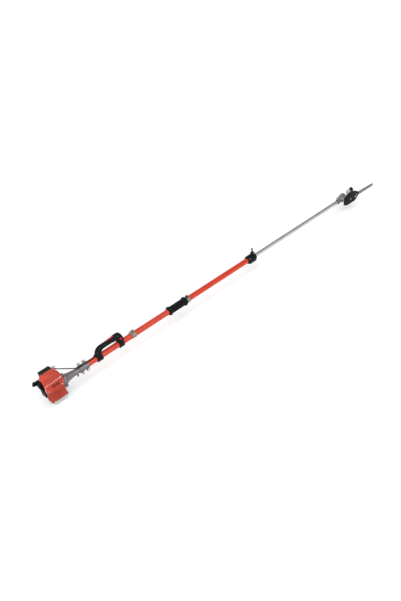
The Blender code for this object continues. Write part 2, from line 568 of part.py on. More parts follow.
def make_fittings(mat):
    x0, x1 = SLING_X
    eye_x, eye_z = SLING_EYE
    bolt_x, bolt_z = SLING_BOLT
    piece("sling_clamp", pole_lathe(tube_profile(x0, x1, SLING_R, OUTER_R + GAP)), mat["steel"],
          add=[box((x0 + 2, -3, AXIS_Z + 20.5), (x1 - 1, 3, 120), 1, 1)],
          cut=[rod((eye_x, -8, eye_z), (eye_x, 8, eye_z), 3.2, 16),
               rod((bolt_x, -8, bolt_z), (bolt_x, 8, bolt_z), 2.8, 12)])
    piece("sling_bolt", rod((bolt_x, -8, bolt_z), (bolt_x, -3 - GAP, bolt_z), 4.6, 6), mat["steel"],
          add=[rod((bolt_x, -5, bolt_z), (bolt_x, 8, bolt_z), 2.4, 12)])
    ring = bmesh.new()
    major, minor = 10.0, 1.8
    rings = []
    for k in range(24):
        turn = 2 * math.pi * k / 24
        out = Vector((math.cos(turn), math.sin(turn), 0))
        centre = Vector((eye_x - major, 0, eye_z)) + out * major
        rings.append([ring.verts.new(centre + out * minor * math.cos(2 * math.pi * j / 8)
                                     + Vector((0, 0, minor * math.sin(2 * math.pi * j / 8))))
                      for j in range(8)])
    for k in range(24):
        for j in range(8):
            ring.faces.new((rings[k][j], rings[(k + 1) % 24][j],
                            rings[(k + 1) % 24][(j + 1) % 8], rings[k][(j + 1) % 8]))
    bmesh.ops.recalc_face_normals(ring, faces=ring.faces)
    bmesh.ops.rotate(ring, cent=(eye_x, 0, eye_z), verts=ring.verts,
                     matrix=Matrix.Rotation(-RING_DROOP, 3, "Y"))
    piece("sling_ring", ring, mat["steel"], origin=(eye_x, 0, eye_z))

    g0, g1 = GRIP_X
    piece("front_grip", pole_lathe([(g0, 22), (g0 + 3, 24), (g0 + 12, 24), (g0 + 14, 27),
                                    (g0 + 24, 27), (g0 + 28, 23), (g1 - 28, 23), (g1 - 24, 27),
                                    (g1 - 6, 27), (g1, 24), (g1, OUTER_R + GAP), (g0, OUTER_R + GAP)],
                                   32), mat["rubber"])
    c0, c1 = COLLAR_X
    piece("grip_collar", pole_lathe(tube_profile(c0, c1, 23.5, OUTER_R + GAP)), mat["steel"],
          add=[box((c0 + 3, -6, AXIS_Z + 21), (c1 - 3, 6, AXIS_Z + 31), 2, 1)])

    x0, x1 = LOCK_X
    px, _, pz = LOCK_PIVOT
    body = [(x0, 23), (x0 + 5, 28), (x0 + 30, 29.5), (x0 + 42, 27), (x1 - 34, 27), (x1 - 26, 30),
            (x1 - 8, 29), (x1, 22), (x1, INNER_R + GAP), (OUTER_X1 + GAP, INNER_R + GAP),
            (OUTER_X1 + GAP, OUTER_R + GAP), (x0, OUTER_R + GAP)]
    ears = []
    for sign in (-1, 1):
        ears.append(box((px - 11, min(sign * 7, sign * 12), 106), (px + 11, max(sign * 7, sign * 12),
                                                                    127), 1.5, 1))
    piece("lock_body", pole_lathe(body, 28), mat["black_plastic"], add=ears,
          cut=[rod((px, -20, pz), (px, 20, pz), 2.8, 12),
               rod((px, -6.8, pz), (px, 6.8, pz), 9.3, 20)])
    piece("lock_pin", rod((px, -13, pz), (px, 13, pz), 2.5, 12), mat["steel"])
    shoulder = (px, 0, pz + 6)
    knob_base = (px, 0, pz + LEVER_LENGTH * 0.7)
    tip = (px, 0, pz + LEVER_LENGTH)
    piece("lock_lever", rod((px, -6.5, pz), (px, 6.5, pz), 8.5, 20), mat["black_plastic"],
          origin=LOCK_PIVOT,
          add=[rod(shoulder, tip, 3.4, 12), rod(knob_base, tip, 5.6, 14)],
          cut=[rod((px, -9, pz), (px, 9, pz), 2.8, 12)])


# ---------------------------------------------------------------- saw head

def band(offset, rear_limit=None):
    """Outline around sprocket and bar nose, grown by an offset."""
    sx, sz = SPROCKET
    nx, nz = NOSE
    big = SPROCKET_R + offset
    small = NOSE_R + offset
    lean = math.degrees(math.atan2(nz - sz, nx - sx))
    spread = math.degrees(math.asin((big - small) / math.hypot(nx - sx, nz - sz)))
    front = arc(NOSE, small, lean - 90 + spread, lean + 90 - spread, 12)
    if rear_limit is None:
        rear = arc(SPROCKET, big, lean + 90 - spread, lean + 270 + spread, 14)
        return front + rear
    top = arc(SPROCKET, big, lean + 90 - spread, lean + 90 - spread, 1)[0]
    bottom = arc(SPROCKET, big, lean + 270 + spread, lean + 270 + spread, 1)[0]

    def at_limit(end, start):
        share = (rear_limit - end[0]) / (start[0] - end[0])
        return (rear_limit, end[1] + share * (start[1] - end[1]))
    return front + [at_limit(top, front[-1]), at_limit(bottom, front[0])]


def make_head(mat):
    bolt_x, bolt_z = SOCKET_BOLT
    socket = pole_lathe([(SOCKET_X0, 19), (SOCKET_X1 + 6, 19), (SOCKET_X1 + 6, 0), (SOCKET_X0, 0)])
    sx, sz = SPROCKET
    body = box((2684, -30, 60), (2744, 22, 112), 6, 2)
    hump = box((2674, -14, 98), (2724, 12, 130), 5, 2)
    tail = box((2738, -34, 64), (2806, -8, 106), 5, 2)
    pad = box((2696, PAD_Y[0], 64), (2808, PAD_Y[1] + 10, 102), 1, 1)
    clamp_ear = box((SOCKET_X0, -10, AXIS_Z), (2662, 10, 118), 2, 1)
    low_ear = box((SOCKET_X0, -8, 62), (2662, 8, AXIS_Z), 2, 1)
    tube_bore = rod((SOCKET_X0 - 5, 0, AXIS_Z), (INNER_X1 + 1, 0, AXIS_Z), INNER_R + GAP, 28)
    shaft_bore = rod((2660, 0, AXIS_Z), (2712, 0, AXIS_Z), 9.8, 20)
    gear_bore = rod((sx, -28, sz), (sx, 17, sz), 14, 24)
    output_bore = rod((sx, -50, sz), (sx, 17, sz), 6.5, 20)
    piece("gear_case", body, mat["cast"], add=[hump, socket, clamp_ear, low_ear, tail, pad],
          cut=[tube_bore, shaft_bore, gear_bore, output_bore,
               rod((bolt_x, -20, bolt_z), (bolt_x, 20, bolt_z), 2.8, 12)])
    piece("head_bolt", rod((bolt_x, -15, bolt_z), (bolt_x, -10 - GAP, bolt_z), 5, 12), mat["steel"],
          add=[rod((bolt_x, -12, bolt_z), (bolt_x, 12, bolt_z), 2.5, 12)])
    piece("sprocket_shaft", lathe([(13, 0), (13, 8), (5, 12.5), (2, 12.5), (2, 5), (-43, 5),
                                   (-43, SPROCKET_R - GAP), (-47, SPROCKET_R - GAP), (-47, 5),
                                   (-54, 5), (-54, 0)], 20, "Y", SPROCKET), mat["steel"],
          origin=(sx, -45, sz))

    piece("guide_bar", prism(band(-GAP, BAR_X0), BAR_Y[0], BAR_Y[1], "XZ"), mat["steel"])
    piece("saw_chain", prism(band(CHAIN_H), CHAIN_Y[0], CHAIN_Y[1], "XZ"), mat["dark_steel"],
          cut=[prism(band(0.0), CHAIN_Y[0] - 5, CHAIN_Y[1] + 5, "XZ")])

    outline = [(2655, 66), (2664, 55), (2690, 50), (2780, 49), (2800, 57), (2832, 79), (2843, 91),
               (2843, 99), (2826, 113), (2802, 126), (2779, 131), (2740, 131), (2705, 124),
               (2678, 111), (2658, 91)]
    centre = Vector((2746, 88))

    nut_x, nut_z = COVER_NUT

    def inner_outline():
        points = []
        for a, b in outline:
            inward = (centre - Vector((a, b))).normalized() * (WALL + 0.5)
            points.append((a + inward.x, b + inward.y))
        return points

    piece("sprocket_cover", prism(outline, COVER_Y0, PAD_Y[0] - GAP, "XZ"), mat["black_plastic"],
          cut=[prism(inner_outline(), COVER_Y0 + WALL, -30, "XZ"),
               box((2770, -50, 58), (2860, -30, 99)),
               box((2640, -50, 70), (2690, -30, 100)),
               rod((nut_x, -70, nut_z), (nut_x, -50, nut_z), 4, 12)])
    piece("cover_nut", rod((nut_x, -70, nut_z), (nut_x, COVER_Y0 - GAP, nut_z), 6.5, 6), mat["steel"],
          add=[rod((nut_x, -64, nut_z), (nut_x, -47, nut_z), 3.7, 12)])

    tank = prism([(-28, 112.5), (-28, 126.7), (-14.7, 140), (-4, 140), (-4, 112.5)], 2748, 2812, "YZ")
    cap = Vector(OIL_CAP)
    neck = rod(cap - OIL_CAP_AXIS * 12, cap - OIL_CAP_AXIS * GAP, 14, 20)
    hollow = prism([(-25, 115.5), (-25, 125.5), (-13.5, 137), (-7, 137), (-7, 115.5)], 2751, 2809, "YZ")
    mouth = rod(cap - OIL_CAP_AXIS * 13, cap + OIL_CAP_AXIS * 5, 9, 20)
    piece("oil_tank", tank, mat["tank"], add=[neck], cut=[hollow, mouth])
    piece("oil_cap", rod(cap, cap + OIL_CAP_AXIS * 9, OIL_CAP_R, 24), mat["black_plastic"],
          origin=OIL_CAP, add=[rod(cap - OIL_CAP_AXIS * 6, cap + OIL_CAP_AXIS, 8.6, 20)])


def main():
    for obj in list(bpy.data.objects):
        bpy.data.objects.remove(obj)
    mat = {
        "orange": paint("orange_paint", (0.72, 0.09, 0.02), 0.3),
        "orange_plastic": paint("orange_plastic", (0.75, 0.08, 0.02), 0.35),
        "red": paint("red_plastic", (0.65, 0.03, 0.04), 0.4),
        "black_plastic": paint("black_plastic", (0.02, 0.022, 0.025), 0.5),
        "rubber": paint("rubber", (0.02, 0.02, 0.022), 0.8),
        "cast": paint("cast_aluminium", (0.42, 0.41, 0.42), 0.5, 0.9),
        "aluminium": paint("anodised_aluminium", (0.75, 0.75, 0.76), 0.35, 1.0),
        "steel": paint("zinc_steel", (0.6, 0.6, 0.6), 0.35, 1.0),
        "dark_steel": paint("dark_steel", (0.2, 0.2, 0.2), 0.45, 1.0),
        "nylon": paint("nylon", (0.7, 0.7, 0.66), 0.6),
        "ceramic": paint("ceramic", (0.85, 0.84, 0.8), 0.3),
        "felt": paint("felt", (0.25, 0.25, 0.24), 0.95),
        "tank": paint("translucent_plastic", (0.86, 0.86, 0.83), 0.35),
    }
    make_pole(mat)
    make_coupling(mat)
    make_engine_block(mat)
    make_covers(mat)
    make_starter(mat)
    make_cable(mat)
    make_handle(mat)
    make_fittings(mat)
    make_head(mat)


main()
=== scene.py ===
"""Looks of a petrol telescoping pole saw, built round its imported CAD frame.

Pieces are modelled in millimetres in the frame's own axes: +X runs along the pole from
the engine to the guide bar, +Y is the left side and +Z is up. Their places come from the
CAD nodes they stand for; meshes are scaled to metres when they are shown.
"""
import math

import bmesh
import bpy
from mathutils import Matrix, Vector


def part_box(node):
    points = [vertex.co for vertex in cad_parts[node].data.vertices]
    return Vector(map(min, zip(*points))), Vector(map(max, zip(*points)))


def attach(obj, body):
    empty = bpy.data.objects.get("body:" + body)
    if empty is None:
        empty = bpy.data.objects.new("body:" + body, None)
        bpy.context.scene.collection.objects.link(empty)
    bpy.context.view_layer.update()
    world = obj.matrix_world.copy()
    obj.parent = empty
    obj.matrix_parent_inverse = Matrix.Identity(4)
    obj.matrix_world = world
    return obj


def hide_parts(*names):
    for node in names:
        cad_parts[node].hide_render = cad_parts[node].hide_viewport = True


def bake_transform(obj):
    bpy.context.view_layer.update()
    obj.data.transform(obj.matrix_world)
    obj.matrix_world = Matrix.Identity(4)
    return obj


MM = 0.001
GAP = 0.3                        # play between pieces that touch
WALL = 2.5                       # moulded covers
SHARP = math.radians(38)         # edges over this angle stay crisp

CAMERA_SPOT = Vector((-0.8613, -2.7231, 2.2125))
CAMERA_AIM = Vector((1.1342, 0.0, 0.0160))
CAMERA_ROLL = math.radians(-11.652)
IMAGE_HEIGHT = 601
FOCAL_PIXELS = 600

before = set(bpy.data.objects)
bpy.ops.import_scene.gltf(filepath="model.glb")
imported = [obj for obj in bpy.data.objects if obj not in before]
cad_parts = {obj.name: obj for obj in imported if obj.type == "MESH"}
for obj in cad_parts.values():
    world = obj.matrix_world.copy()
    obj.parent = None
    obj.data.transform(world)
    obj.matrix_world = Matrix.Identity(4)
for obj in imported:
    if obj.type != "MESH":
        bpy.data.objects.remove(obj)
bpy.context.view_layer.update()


def span(node):
    """Lowest and highest corner of a CAD node, in millimetres."""
    low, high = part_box(node)
    return low / MM, high / MM


POLE_LOW, POLE_HIGH = span("outer_tube")
AXIS_Z = (POLE_LOW.z + POLE_HIGH.z) / 2
OUTER_R = (POLE_HIGH.z - POLE_LOW.z) / 2
AXIS = (0.0, AXIS_Z)             # the pole's axis as y and z

PLANES = {
    "XZ": lambda a, b, t: (a, t, b),
    "YZ": lambda a, b, t: (t, a, b),
    "XY": lambda a, b, t: (a, b, t),
}


# ---------------------------------------------------------------- outlines

def arc(centre, radius, start_deg, end_deg, steps=8):
    """Points on a circle, with both ends."""
    points = []
    for k in range(steps + 1):
        angle = math.radians(start_deg + (end_deg - start_deg) * k / steps)
        points.append((centre[0] + radius * math.cos(angle), centre[1] + radius * math.sin(angle)))
    return points


def fillet(points, radius, steps=4):
    """Round the corners of a closed outline."""
    result = []
    count = len(points)
    for i in range(count):
        before, here, after = (Vector(points[(i + k) % count]) for k in (-1, 0, 1))
        back = before - here
        ahead = after - here
        angle = back.angle(ahead)
        if math.pi - angle < 0.1:
            result.append(tuple(here))
            continue
        reach = min(radius / math.tan(angle / 2), 0.48 * back.length, 0.48 * ahead.length)
        start = here + back.normalized() * reach
        end = here + ahead.normalized() * reach
        for k in range(steps + 1):
            t = k / steps
            result.append(tuple((1 - t) ** 2 * start + 2 * t * (1 - t) * here + t * t * end))
    return result


def inset(outline, amount):
    """Move an outline inwards, each point along the bisector of its corner."""
    if not amount:
        return list(outline)
    count = len(outline)
    pairs = [(outline[i], outline[(i + 1) % count]) for i in range(count)]
    area = sum(a[0] * b[1] - b[0] * a[1] for a, b in pairs)
    turn = 1 if area > 0 else -1
    normals = []
    for a, b in pairs:
        along = (Vector(b) - Vector(a)).normalized()
        normals.append(Vector((-along.y, along.x)) * turn)
    result = []
    for i in range(count):
        both = normals[i - 1] + normals[i]
        share = 1 + normals[i - 1].dot(normals[i])
        result.append(tuple(Vector(outline[i]) + both * amount / max(share, 0.4)))
    return result


def stadium(centre, length, width, lean=0.0, steps=8):
    """A slot outline with round ends, its length leaning from the first axis."""
    half = (length - width) / 2
    points = arc((half, 0), width / 2, -90, 90, steps) + arc((-half, 0), width / 2, 90, 270, steps)
    turn = Matrix.Rotation(math.radians(lean), 2)
    return [tuple(turn @ Vector(p) + Vector(centre)) for p in points]


# ---------------------------------------------------------------- meshes

def slab(outline, low, high, plane, edge=0.0, steps=3):
    """Extrude an outline along the axis its plane leaves out, with rounded rims."""
    levels = [(low, 0.0), (high, 0.0)]
    if edge:
        quarter = [math.pi / 2 * k / steps for k in range(steps + 1)]
        rise = [(edge * (1 - math.cos(t)), edge * (1 - math.sin(t))) for t in quarter]
        levels = [(low + up, back) for up, back in rise]
        levels += [(high - up, back) for up, back in reversed(rise)]
    bm = bmesh.new()
    put = PLANES[plane]
    rings = []
    for depth, back in levels:
        rings.append([bm.verts.new(put(a, b, depth)) for a, b in inset(outline, back)])
    count = len(outline)
    bm.faces.new(rings[0])
    bm.faces.new(reversed(rings[-1]))
    for ring, after in zip(rings, rings[1:]):
        for i in range(count):
            j = (i + 1) % count
            bm.faces.new((ring[i], after[i], after[j], ring[j]))
    bmesh.ops.recalc_face_normals(bm, faces=bm.faces)
    return bm


def hexagon(angle):
    """Radius of a unit hexagon (measured to its flats) at an angle."""
    third = math.pi / 3
    return 1 / math.cos(angle % third - third / 2)


def flutes(count, depth):
    """Radius of a unit circle with rounded grooves cut round it."""
    return lambda angle: 1 - depth * (0.5 - 0.5 * math.cos(count * angle)) ** 2


def lathe(profile, segments=64, axis="X", centre=AXIS):
    """Turn a closed profile of (along, radius) or (along, radius, shape) about an axis."""
    bm = bmesh.new()
    rings = []
    for along, radius, *shape in profile:
        ring = []
        for k in range(segments if radius > 0 else 1):
            angle = 2 * math.pi * k / segments
            reach = radius * (shape[0](angle) if shape else 1)
            a = centre[0] + reach * math.cos(angle)
            b = centre[1] + reach * math.sin(angle)
            spot = {"X": (along, a, b), "Y": (a, along, b), "Z": (a, b, along)}[axis]
            ring.append(bm.verts.new(spot))
        rings.append(ring)
    for ring, after in zip(rings, rings[1:] + rings[:1]):
        if len(ring) == 1 and len(after) == 1:
            continue
        for k in range(segments):
            n = (k + 1) % segments
            if len(ring) == 1:
                bm.faces.new((ring[0], after[n], after[k]))
            elif len(after) == 1:
                bm.faces.new((ring[k], ring[n], after[0]))
            else:
                bm.faces.new((ring[k], ring[n], after[n], after[k]))
    bmesh.ops.recalc_face_normals(bm, faces=bm.faces)
    return bm


def tube(x0, x1, outer, bore, edge=0.6, segments=72):
    """A round tube on the pole's axis with softened rims."""
    return lathe([(x0, outer - edge), (x0 + edge, outer), (x1 - edge, outer), (x1, outer - edge),
                  (x1, bore + edge), (x1 - edge, bore), (x0 + edge, bore), (x0, bore + edge)], segments)


def moved(bm, matrix):
    """Apply a matrix to a mesh."""
    bmesh.ops.transform(bm, matrix=matrix, verts=bm.verts)
    return bm


def shifted(bm, x=0.0, y=0.0, z=0.0):
    """Move a mesh."""
    return moved(bm, Matrix.Translation((x, y, z)))


def round_pole(bm, degrees):
    """Put a mesh made about the X axis on the pole's axis, turned by an angle."""
    return moved(bm, Matrix.Translation((0, 0, AXIS_Z)) @ Matrix.Rotation(math.radians(degrees), 4, "X"))


def aim(bm, spot, direction):
    """Turn a mesh made along +Z to point along a direction, and put it at a spot."""
    turn = Vector(direction).to_track_quat("Z", "Y").to_matrix().to_4x4()
    return moved(bm, Matrix.Translation(Vector(spot)) @ turn)


def upright(profile, segments, spot, direction):
    """A turned mesh whose axis starts at a spot and points along a direction."""
    return aim(lathe(profile, segments, "Z", (0, 0)), spot, direction)


def rod(start, end, radius, segments=32, edge=0.0):
    """A cylinder between two points, its rims softened by edge."""
    along = Vector(end) - Vector(start)
    length = along.length
    profile = [(0, 0), (0, radius - edge), (edge, radius), (length - edge, radius),
               (length, radius - edge), (length, 0)]
    if not edge:
        profile = [(0, 0), (0, radius), (length, radius), (length, 0)]
    return upright(profile, segments, start, along)


def pin(x, z, y0, y1, radius, segments=24, edge=0.0):
    """A cylinder that runs sideways through the machine."""
    return rod((x, y0, z), (x, y1, z), radius, segments, edge)


def box(low, high, edge=0.0, steps=3):
    """A block between two corners, all its edges rounded."""
    bm = bmesh.new()
    bmesh.ops.create_cube(bm, size=1.0)
    for vert in bm.verts:
        vert.co = Vector([low[i] if vert.co[i] < 0 else high[i] for i in range(3)])
    if edge:
        bmesh.ops.bevel(bm, geom=bm.edges[:], offset=edge, segments=steps, profile=0.5, affect="EDGES")
    return bm


def joined(parts):
    """Several meshes as one, left as separate bodies."""
    whole = bmesh.new()
    for part in parts:
        mesh = bpy.data.meshes.new("part")
        part.to_mesh(mesh)
        part.free()
        whole.from_mesh(mesh)
        bpy.data.meshes.remove(mesh)
    return whole


def sweep(route, radius, sides=16):
    """A round tube that follows a list of points; radius may be a function of the share gone."""
    bm = bmesh.new()
    points = [Vector(p) for p in route]
    side = Vector((0, 0, 1))
    rings = []
    for i, spot in enumerate(points):
        along = (points[min(i + 1, len(points) - 1)] - points[max(i - 1, 0)]).normalized()
        side = (side - along * side.dot(along)).normalized()
        other = along.cross(side)
        share = i / (len(points) - 1)
        reach = radius(share) if callable(radius) else radius
        ring = []
        for k in range(sides):
            angle = 2 * math.pi * k / sides
            ring.append(bm.verts.new(spot + (side * math.cos(angle) + other * math.sin(angle)) * reach))
        rings.append(ring)
    for ring, after in zip(rings, rings[1:]):
        for k in range(sides):
            n = (k + 1) % sides
            bm.faces.new((ring[k], ring[n], after[n], after[k]))
    bm.faces.new(rings[0])
    bm.faces.new(reversed(rings[-1]))
    bmesh.ops.recalc_face_normals(bm, faces=bm.faces)
    return bm


def smooth_route(points, steps=8):
    """A smooth curve through the given points."""
    given = [Vector(p) for p in points]
    padded = [given[0] * 2 - given[1]] + given + [given[-1] * 2 - given[-2]]
    fine = []
    for a, b, c, d in zip(padded, padded[1:], padded[2:], padded[3:]):
        for k in range(steps):
            t = k / steps
            fine.append(0.5 * (2 * b + (c - a) * t + (2 * a - 5 * b + 4 * c - d) * t * t
                               + (3 * b - a - 3 * c + d) * t ** 3))
    fine.append(given[-1])
    return fine


def raw_object(bm):
    """A bare object from a mesh, for modifiers to work on."""
    mesh = bpy.data.meshes.new("raw")
    bm.to_mesh(mesh)
    bm.free()
    obj = bpy.data.objects.new("raw", mesh)
    bpy.context.scene.collection.objects.link(obj)
    return obj


def settle(obj):
    """Apply an object's modifiers to its mesh."""
    bpy.context.view_layer.update()
    graph = bpy.context.evaluated_depsgraph_get()
    result = bpy.data.meshes.new_from_object(obj.evaluated_get(graph))
    old = obj.data
    obj.modifiers.clear()
    obj.data = result
    bpy.data.meshes.remove(old)


def combine(obj, bm, operation):
    """Boolean a second mesh into an object and drop the tool."""
    tool = raw_object(bm)
    modifier = obj.modifiers.new("combine", "BOOLEAN")
    modifier.operation = operation
    modifier.solver = "EXACT"
    modifier.object = tool
    settle(obj)
    mesh = tool.data
    bpy.data.objects.remove(tool)
    bpy.data.meshes.remove(mesh)


def melt(obj, voxel, rounds):
    """Blend a union's joints into soft fillets, as in a casting or a moulding."""
    remesh = obj.modifiers.new("melt", "REMESH")
    remesh.mode = "VOXEL"
    remesh.voxel_size = voxel * 1.0
    smooth = obj.modifiers.new("smooth", "SMOOTH")
    smooth.iterations = rounds
    settle(obj)


def soften(obj, width, steps=2, angle=35):
    """Bevel the edges that turn by more than an angle."""
    bevel = obj.modifiers.new("soften", "BEVEL")
    bevel.width = width
    bevel.segments = steps
    bevel.limit_method = "ANGLE"
    bevel.angle_limit = math.radians(angle)
    settle(obj)


def solid(bm, add=(), keep=(), cut=(), melted=None, softened=None):
    """Build up a mesh: unions, intersections and fillets first, then cuts."""
    obj = raw_object(bm)
    for extra in add:
        combine(obj, extra, "UNION")
    for limit in keep:
        combine(obj, limit, "INTERSECT")
    if melted:
        melt(obj, *melted)
    if softened:
        soften(obj, *softened)
    for cutter in cut:
        combine(obj, cutter, "DIFFERENCE")
    result = bmesh.new()
    result.from_mesh(obj.data)
    mesh = obj.data
    bpy.data.objects.remove(obj)
    bpy.data.meshes.remove(mesh)
    return result


def show(name, bm, surface, body, stands_for=()):
    """One finished piece: scaled to metres, given its material, riding on a body."""
    obj = raw_object(bm)
    obj.name = name
    mesh = obj.data
    mesh.name = name
    mesh.transform(Matrix.Scale(MM, 4))
    mesh.materials.clear()
    mesh.materials.append(surface.material)
    mesh.shade_smooth()
    mesh.set_sharp_from_angle(angle=SHARP)
    if stands_for:
        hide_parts(*stands_for)
    if body:
        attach(obj, body)
    return obj


# ---------------------------------------------------------------- materials

class Surface:
    """A Principled material with short calls for the nodes that feed it."""

    def __init__(self, name, slot, **values):
        """Make the material; values are inputs of its shader."""
        self.slot = slot
        self.material = bpy.data.materials.new(name)
        self.material.use_nodes = True
        self.nodes = self.material.node_tree.nodes
        self.links = self.material.node_tree.links
        self.shader = self.nodes["Principled BSDF"]
        for key, value in values.items():
            self.shader.inputs[key.replace("_", " ")].default_value = value
        self.place = self.nodes.new("ShaderNodeTexCoord").outputs["Object"]
        self.height = None

    def feed(self, socket, value):
        """Link a node's output to a socket, or set the socket to a value."""
        if isinstance(value, bpy.types.NodeSocket):
            self.links.new(value, socket)
        else:
            socket.default_value = value

    def stretched(self, scale):
        """Object coordinates scaled differently along each axis."""
        node = self.nodes.new("ShaderNodeMapping")
        node.inputs["Scale"].default_value = scale
        self.links.new(self.place, node.inputs["Vector"])
        return node.outputs["Vector"]

    def noise(self, scale, detail=3.0, rough=0.5, stretch=None, warp=0.0):
        """Cloudy noise, drawn out along an axis by stretch."""
        node = self.nodes.new("ShaderNodeTexNoise")
        self.links.new(self.stretched(stretch) if stretch else self.place, node.inputs["Vector"])
        node.inputs["Scale"].default_value = scale
        node.inputs["Detail"].default_value = detail
        node.inputs["Roughness"].default_value = rough
        node.inputs["Distortion"].default_value = warp
        return node.outputs["Fac"]

    def cells(self, scale, feature="F1"):
        """Distances within a cell pattern."""
        node = self.nodes.new("ShaderNodeTexVoronoi")
        node.feature = feature
        self.links.new(self.place, node.inputs["Vector"])
        node.inputs["Scale"].default_value = scale
        return node.outputs["Distance"]

    def waves(self, scale, axis, warp=0.0):
        """Bands across an axis."""
        node = self.nodes.new("ShaderNodeTexWave")
        node.bands_direction = axis
        self.links.new(self.place, node.inputs["Vector"])
        node.inputs["Scale"].default_value = scale
        node.inputs["Distortion"].default_value = warp
        return node.outputs["Fac"]

    def edges(self, low=0.5, high=0.56):
        """High where the surface turns outwards, as where paint and plastic wear; the paler edges it drives
        are partly wear and partly painted highlight, and its low end drives painted shade in hollows.
        """
        geometry = self.nodes.new("ShaderNodeNewGeometry")
        return self.spread(geometry.outputs["Pointiness"], low, high)

    def spread(self, value, low, high, to_low=0.0, to_high=1.0):
        """Stretch one range of a value over another."""
        node = self.nodes.new("ShaderNodeMapRange")
        self.links.new(value, node.inputs["Value"])
        for name, number in (("From Min", low), ("From Max", high), ("To Min", to_low), ("To Max", to_high)):
            node.inputs[name].default_value = number
        return node.outputs["Result"]

    def times(self, a, b):
        """The product of two values."""
        node = self.nodes.new("ShaderNodeMath")
        node.operation = "MULTIPLY"
        self.feed(node.inputs[0], a)
        self.feed(node.inputs[1], b)
        return node.outputs[0]

    def mixed(self, low, high, share):
        """A colour between two others, each a tuple or a node's output."""
        node = self.nodes.new("ShaderNodeMix")
        node.data_type = "RGBA"
        self.feed(node.inputs["Factor"], share)
        for name, value in (("A", low), ("B", high)):
            socket = [s for s in node.inputs if s.name == name and s.type == "RGBA"][0]
            self.feed(socket, (*value, 1.0) if isinstance(value, tuple) else value)
        return [s for s in node.outputs if s.type == "RGBA"][0]

    def colour(self, value):
        """Drive the base colour."""
        self.links.new(value, self.shader.inputs["Base Color"])

    def roughness(self, value):
        """Drive the roughness."""
        self.links.new(value, self.shader.inputs["Roughness"])

    def bump(self, height, strength, depth_mm):
        """Add a relief; later calls lie on the earlier ones."""
        node = self.nodes.new("ShaderNodeBump")
        node.inputs["Strength"].default_value = strength
        node.inputs["Distance"].default_value = depth_mm * MM
        self.links.new(height, node.inputs["Height"])
        if self.height:
            self.links.new(self.height, node.inputs["Normal"])
        self.height = node.outputs["Normal"]
        self.links.new(self.height, self.shader.inputs["Normal"])


def shade(colour, factor):
    """A darker or paler colour."""
    return tuple(min(1.0, c * factor) for c in colour)


def painted(name, slot, colour, rough, coat, peel):
    """Glossy paint or moulded colour: faint mottling, orange peel, scuffs, and paler edges that are partly
    rubbed wear and partly painted highlight.
    """
    s = Surface(name, slot, Coat_Weight=coat, Coat_Roughness=0.06, Specular_IOR_Level=0.2)
    tone = s.mixed(shade(colour, 0.8), shade(colour, 1.15), s.spread(s.noise(9, 5), 0.3, 0.7))
    scuffs = s.spread(s.noise(60, 8, 0.7, stretch=(0.5, 2, 2), warp=0.6), 0.66, 0.78, 0, 0.3)
    tone = s.mixed(tone, shade(colour, 0.45), scuffs)
    dust = s.times(s.spread(s.noise(26, 6, 0.65), 0.5, 0.8), 0.05)
    tone = s.mixed(tone, (0.62, 0.42, 0.34), dust)
    # paler edges: partly rubbed wear, partly a painted highlight where the surface turns outwards
    s.colour(s.mixed(tone, shade(colour, 1.7), s.times(s.edges(0.52, 0.6), 0.5)))
    s.roughness(s.spread(s.noise(45, 6, 0.6), 0.3, 0.75, rough - 0.07, rough + 0.14))
    s.bump(s.noise(peel, 2), 0.25, 0.05)
    s.bump(s.noise(420, 5, 0.7, stretch=(0.05, 1, 1)), 0.12, 0.03)
    return s


def grained(name, slot, colour, rough, grain, depth, dusty=0.03, shine=0.11):
    """Fine-grained moulded plastic or rubber with a little dust, and paler edges that are partly rubbed wear
    and partly painted highlight.
    """
    s = Surface(name, slot, Specular_IOR_Level=shine)
    tone = s.mixed(shade(colour, 0.7), shade(colour, 1.4), s.spread(s.noise(14, 6, 0.6), 0.3, 0.7))
    dust = s.times(s.spread(s.noise(38, 8, 0.7), 0.48, 0.78), dusty)
    tone = s.mixed(tone, (0.12, 0.115, 0.105), dust)
    # paler edges: partly rubbed wear, partly a painted highlight where the surface turns outwards
    s.colour(s.mixed(tone, shade(colour, 5.0), s.times(s.edges(0.52, 0.6), 0.45)))
    s.roughness(s.spread(s.noise(70, 5), 0.3, 0.7, rough - 0.08, rough + 0.1))
    s.bump(s.cells(grain, "SMOOTH_F1"), 0.45, depth)
    s.bump(s.noise(grain * 0.3, 4), 0.2, depth)
    return s


def cast(name, slot, colour, rough):
    """Sand-cast or die-cast light metal, grainy, with painted shade darkening its hollows and paler edges
    that are partly wear and partly painted highlight.
    """
    s = Surface(name, slot, Metallic=0.75)
    tone = s.mixed(shade(colour, 0.72), shade(colour, 1.15), s.spread(s.noise(22, 7, 0.65), 0.3, 0.7))
    grime = s.times(s.spread(s.noise(60, 6, 0.7), 0.5, 0.75), 0.35)
    tone = s.mixed(tone, shade(colour, 0.32), grime)
    # painted shade: the metal goes dark in hollows, where shadow falls
    tone = s.mixed(shade(colour, 0.3), tone, s.edges(0.42, 0.5))
    # paler edges: partly wear, partly a painted highlight where the surface turns outwards
    s.colour(s.mixed(tone, shade(colour, 1.6), s.times(s.edges(0.52, 0.6), 0.7)))
    s.roughness(s.spread(s.noise(110, 6, 0.6), 0.3, 0.7, rough - 0.1, rough + 0.14))
    s.bump(s.noise(900, 6, 0.7), 0.5, 0.12)
    s.bump(s.noise(160, 4), 0.25, 0.15)
    return s


